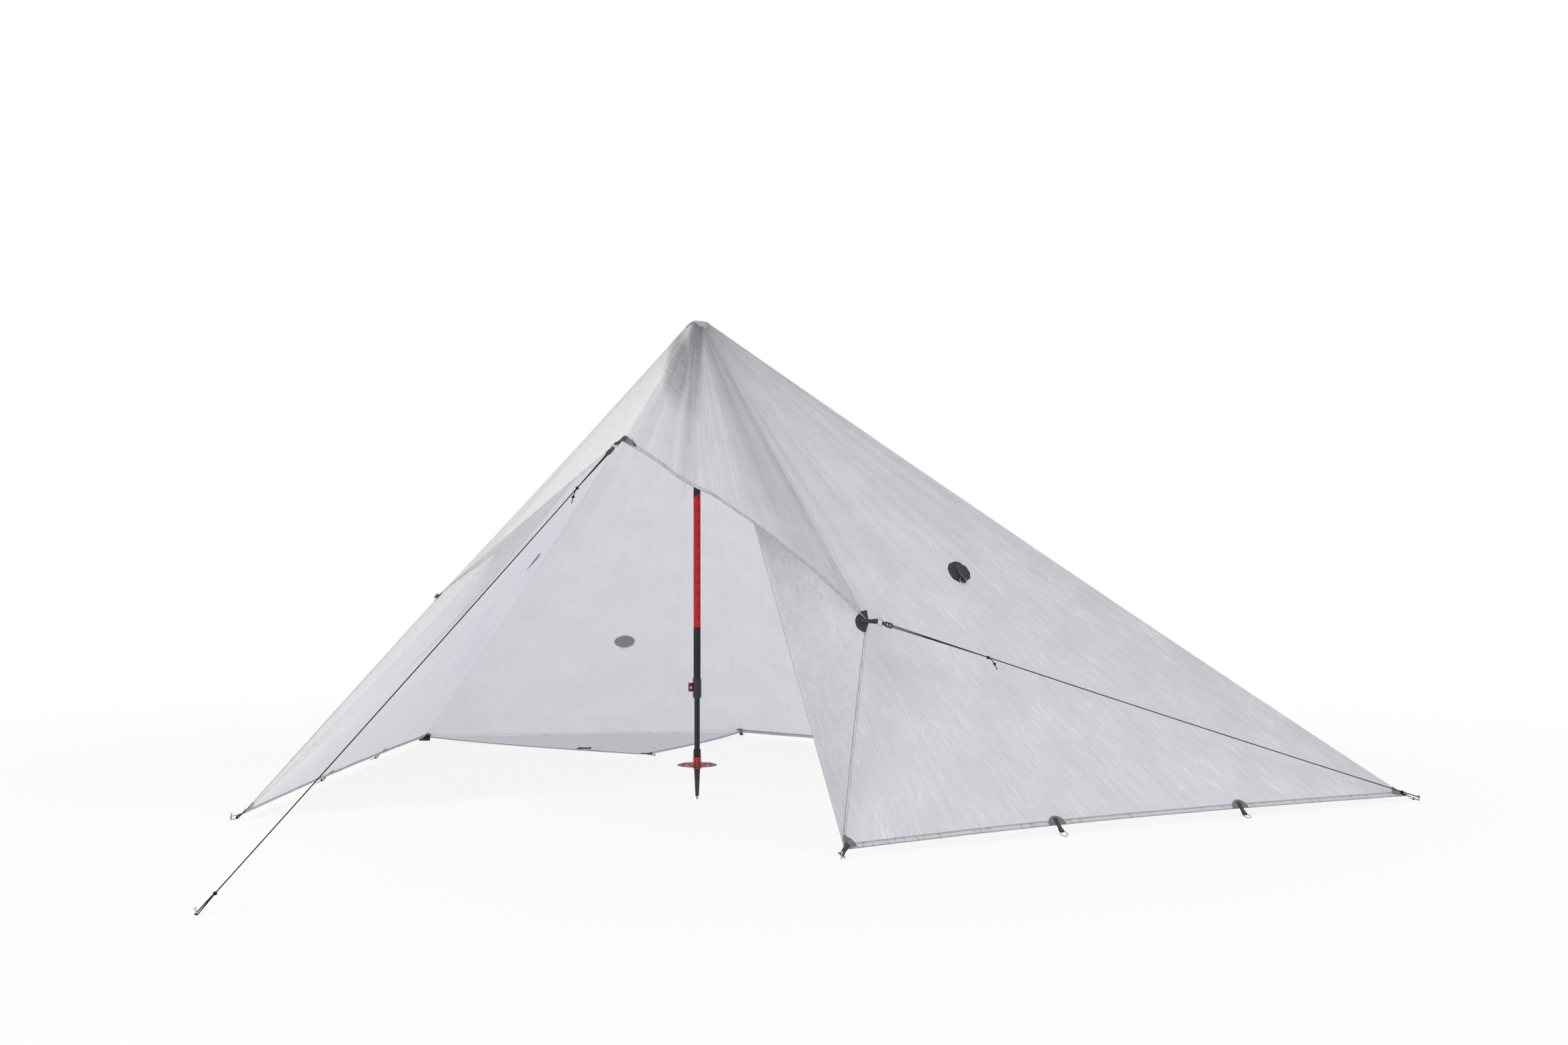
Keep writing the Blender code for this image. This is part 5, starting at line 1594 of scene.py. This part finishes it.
two_colour = Finish("two_colour_moulding")
here = two_colour.place()
x, y, _ = two_colour.parts(here)
level_place = two_colour.add("CombineXYZ", 0, {"X": x, "Y": y})
out = two_colour.vector("LENGTH", level_place, out="Value")
around = y.math("ARCTAN2", x)
points, lobes, ribs = ((around * turns).math("COSINE") for turns in (CROWN_POINTS, TIPS, RIBS))
crown = (out + points * -0.004).spread(CROWN_R - 0.0003, CROWN_R + 0.0003, 1.0, 0.0)
crown = crown * points.spread(-0.60, -0.50)
tips = out.spread(TIPS_R, TIPS_R + 0.0006) * lobes.spread(0.30, 0.40)
scuff = two_colour.noise(here, 240.0, 4.0)
black = two_colour.blend(scuff, (0.012, 0.012, 0.014, 1), (0.040, 0.040, 0.044, 1))
red = two_colour.blend(scuff, (0.60, 0.020, 0.016, 1), (0.78, 0.050, 0.030, 1))
dress(two_colour.done(two_colour.surface(
    two_colour.blend(crown.math("MAXIMUM", tips), black, red), scuff.spread(0.3, 0.7, 0.3, 0.5),
    two_colour.bump(ribs, 0.5, 0.0004))), "basket")

# %% [markdown]
# The upper shaft is lacquered red between two black ends. A row of darker facets runs up the red
# part. The pattern is plain arithmetic on the height and the width, so it needs no image.

# %% Shaft finishes
RED_FROM = 0.4325
RED_TO = 0.7630
EDGE_BLUR = 0.0002
FACET = 0.030
SHAFT_R = 0.009


def lacquer_finish(name, red):
    """Lacquered tube, with the red band and its facets if it has them."""
    lacquer = Finish(name)
    here = lacquer.place()
    x, _, height = lacquer.parts(here)
    specks = lacquer.noise(here, 700.0, 3.0)
    colour = lacquer.blend(specks, (0.003, 0.003, 0.005, 1), (0.010, 0.010, 0.013, 1))
    if red:
        top = (height - x * 0.8).spread(RED_TO - EDGE_BLUR, RED_TO + EDGE_BLUR, 1.0, 0.0)
        bottom = height.spread(RED_FROM - EDGE_BLUR, RED_FROM + EDGE_BLUR)
        facet = (x * (1 / SHAFT_R) - (height / FACET).math("FRACT")).spread(-0.04, 0.04)
        reds = lacquer.blend(facet, (0.62, 0.003, 0.014, 1), (0.34, 0.003, 0.012, 1))
        colour = lacquer.blend(top * bottom, colour, reds)
    return lacquer.done(lacquer.surface(colour, specks.spread(0.3, 0.7, 0.24, 0.40),
                                        Specular_IOR_Level=0.35, Coat_Weight=0.12,
                                        Coat_Roughness=0.12))


dress(lacquer_finish("red_and_black_lacquer", True), "upper_shaft")
dress(lacquer_finish("black_lacquer", False), "lower_shaft")

# %% [markdown]
# The grip is closed-cell foam with soft swells for the fingers. It is round, so a profile turned
# about the pole's axis makes it. The strap could be swept along a curve, but a grid of rows round
# its loop gives its flat sides and its ribs at once.

# %% Foam finish
foam = Finish("grip_foam")
here = foam.place()
cells = foam.add("TexVoronoi", "Distance", {"Vector": here, "Scale": 1500.0})
colour = foam.blend(foam.noise(here, 160.0, 4.0), (0.014, 0.014, 0.016, 1),
                    (0.040, 0.040, 0.044, 1))
foam_finish = foam.done(foam.surface(colour, 0.88, foam.bump(cells, 0.5, 0.0004)))

# %% Turn the foam grip
GRIP_TOP = GRIP_HEIGHT - 0.0013
GRIP_BOTTOM = 0.945
GRIP_R = 0.0175
GRIP_HEAD_R = 0.0130
HEAD_H = 0.008
SWELLS = ((0.055, 0.86), (0.12, 0.88), (0.22, 1.0), (0.36, 0.90), (0.50, 0.94), (0.64, 0.84),
          (0.80, 0.88), (0.95, 0.80), (1.0, 0.66))


def grip_profile():
    """(radius, height) pairs from the head down, smoothed between the finger swells."""
    points = []
    for step in range(9):
        angle = pi / 2 * step / 8
        points.append((GRIP_HEAD_R * sin(angle), GRIP_TOP - HEAD_H * (1 - cos(angle))))
    for (low, first), (high, second) in zip(SWELLS, SWELLS[1:]):
        for step in range(6):
            share = step / 6
            ease = share * share * (3 - 2 * share)
            points.append((GRIP_R * (first + (second - first) * ease),
                           GRIP_TOP - (GRIP_TOP - GRIP_BOTTOM) * (low + (high - low) * share)))
    return points + [(GRIP_R * 0.64, GRIP_BOTTOM), (0.0, GRIP_BOTTOM)]


bm = bmesh.new()
corners = [bm.verts.new((radius, 0.0, height)) for radius, height in grip_profile()]
edges = [bm.edges.new(pair) for pair in zip(corners, corners[1:])]
bmesh.ops.spin(bm, geom=corners + edges, cent=(0, 0, 0), axis=UP, angle=2 * pi, steps=56,
               use_merge=True)
bmesh.ops.remove_doubles(bm, verts=bm.verts, dist=MERGE)
bmesh.ops.recalc_face_normals(bm, faces=bm.faces)
grip = show_piece("foam_grip", bm, foam_finish, ["grip"])

# %% Loop the wrist strap
STRAP_W = 0.018
STRAP_T = 0.0018
STRAP_STEPS = (96, 6)


def strap_rows():
    """Rows of points across the strap, round its loop and back to the start."""
    steps, across = STRAP_STEPS
    centre = -(GRIP_R * 0.94 + CLEARANCE) - STRAP_HALF_WIDE
    middle = (GRIP_TOP + GRIP_BOTTOM) / 2
    rows = []
    for step in range(steps + 1):
        angle = 2 * pi * step / steps
        x = centre + (STRAP_HALF_WIDE - STRAP_T / 2) * cos(angle)
        z = middle + (STRAP_HALF_TALL - STRAP_T / 2) * sin(angle)
        rows.append([Vector((x, STRAP_W * (k / across - 0.5), z)) for k in range(across + 1)])
    return rows


bm = strip_grid(strap_rows(), "along_web", STRAP_W)
bmesh.ops.remove_doubles(bm, verts=bm.verts, dist=MERGE)
show_piece("wrist_strap_webbing", bm, web_finish, ["wrist_strap"], thickness=STRAP_T)
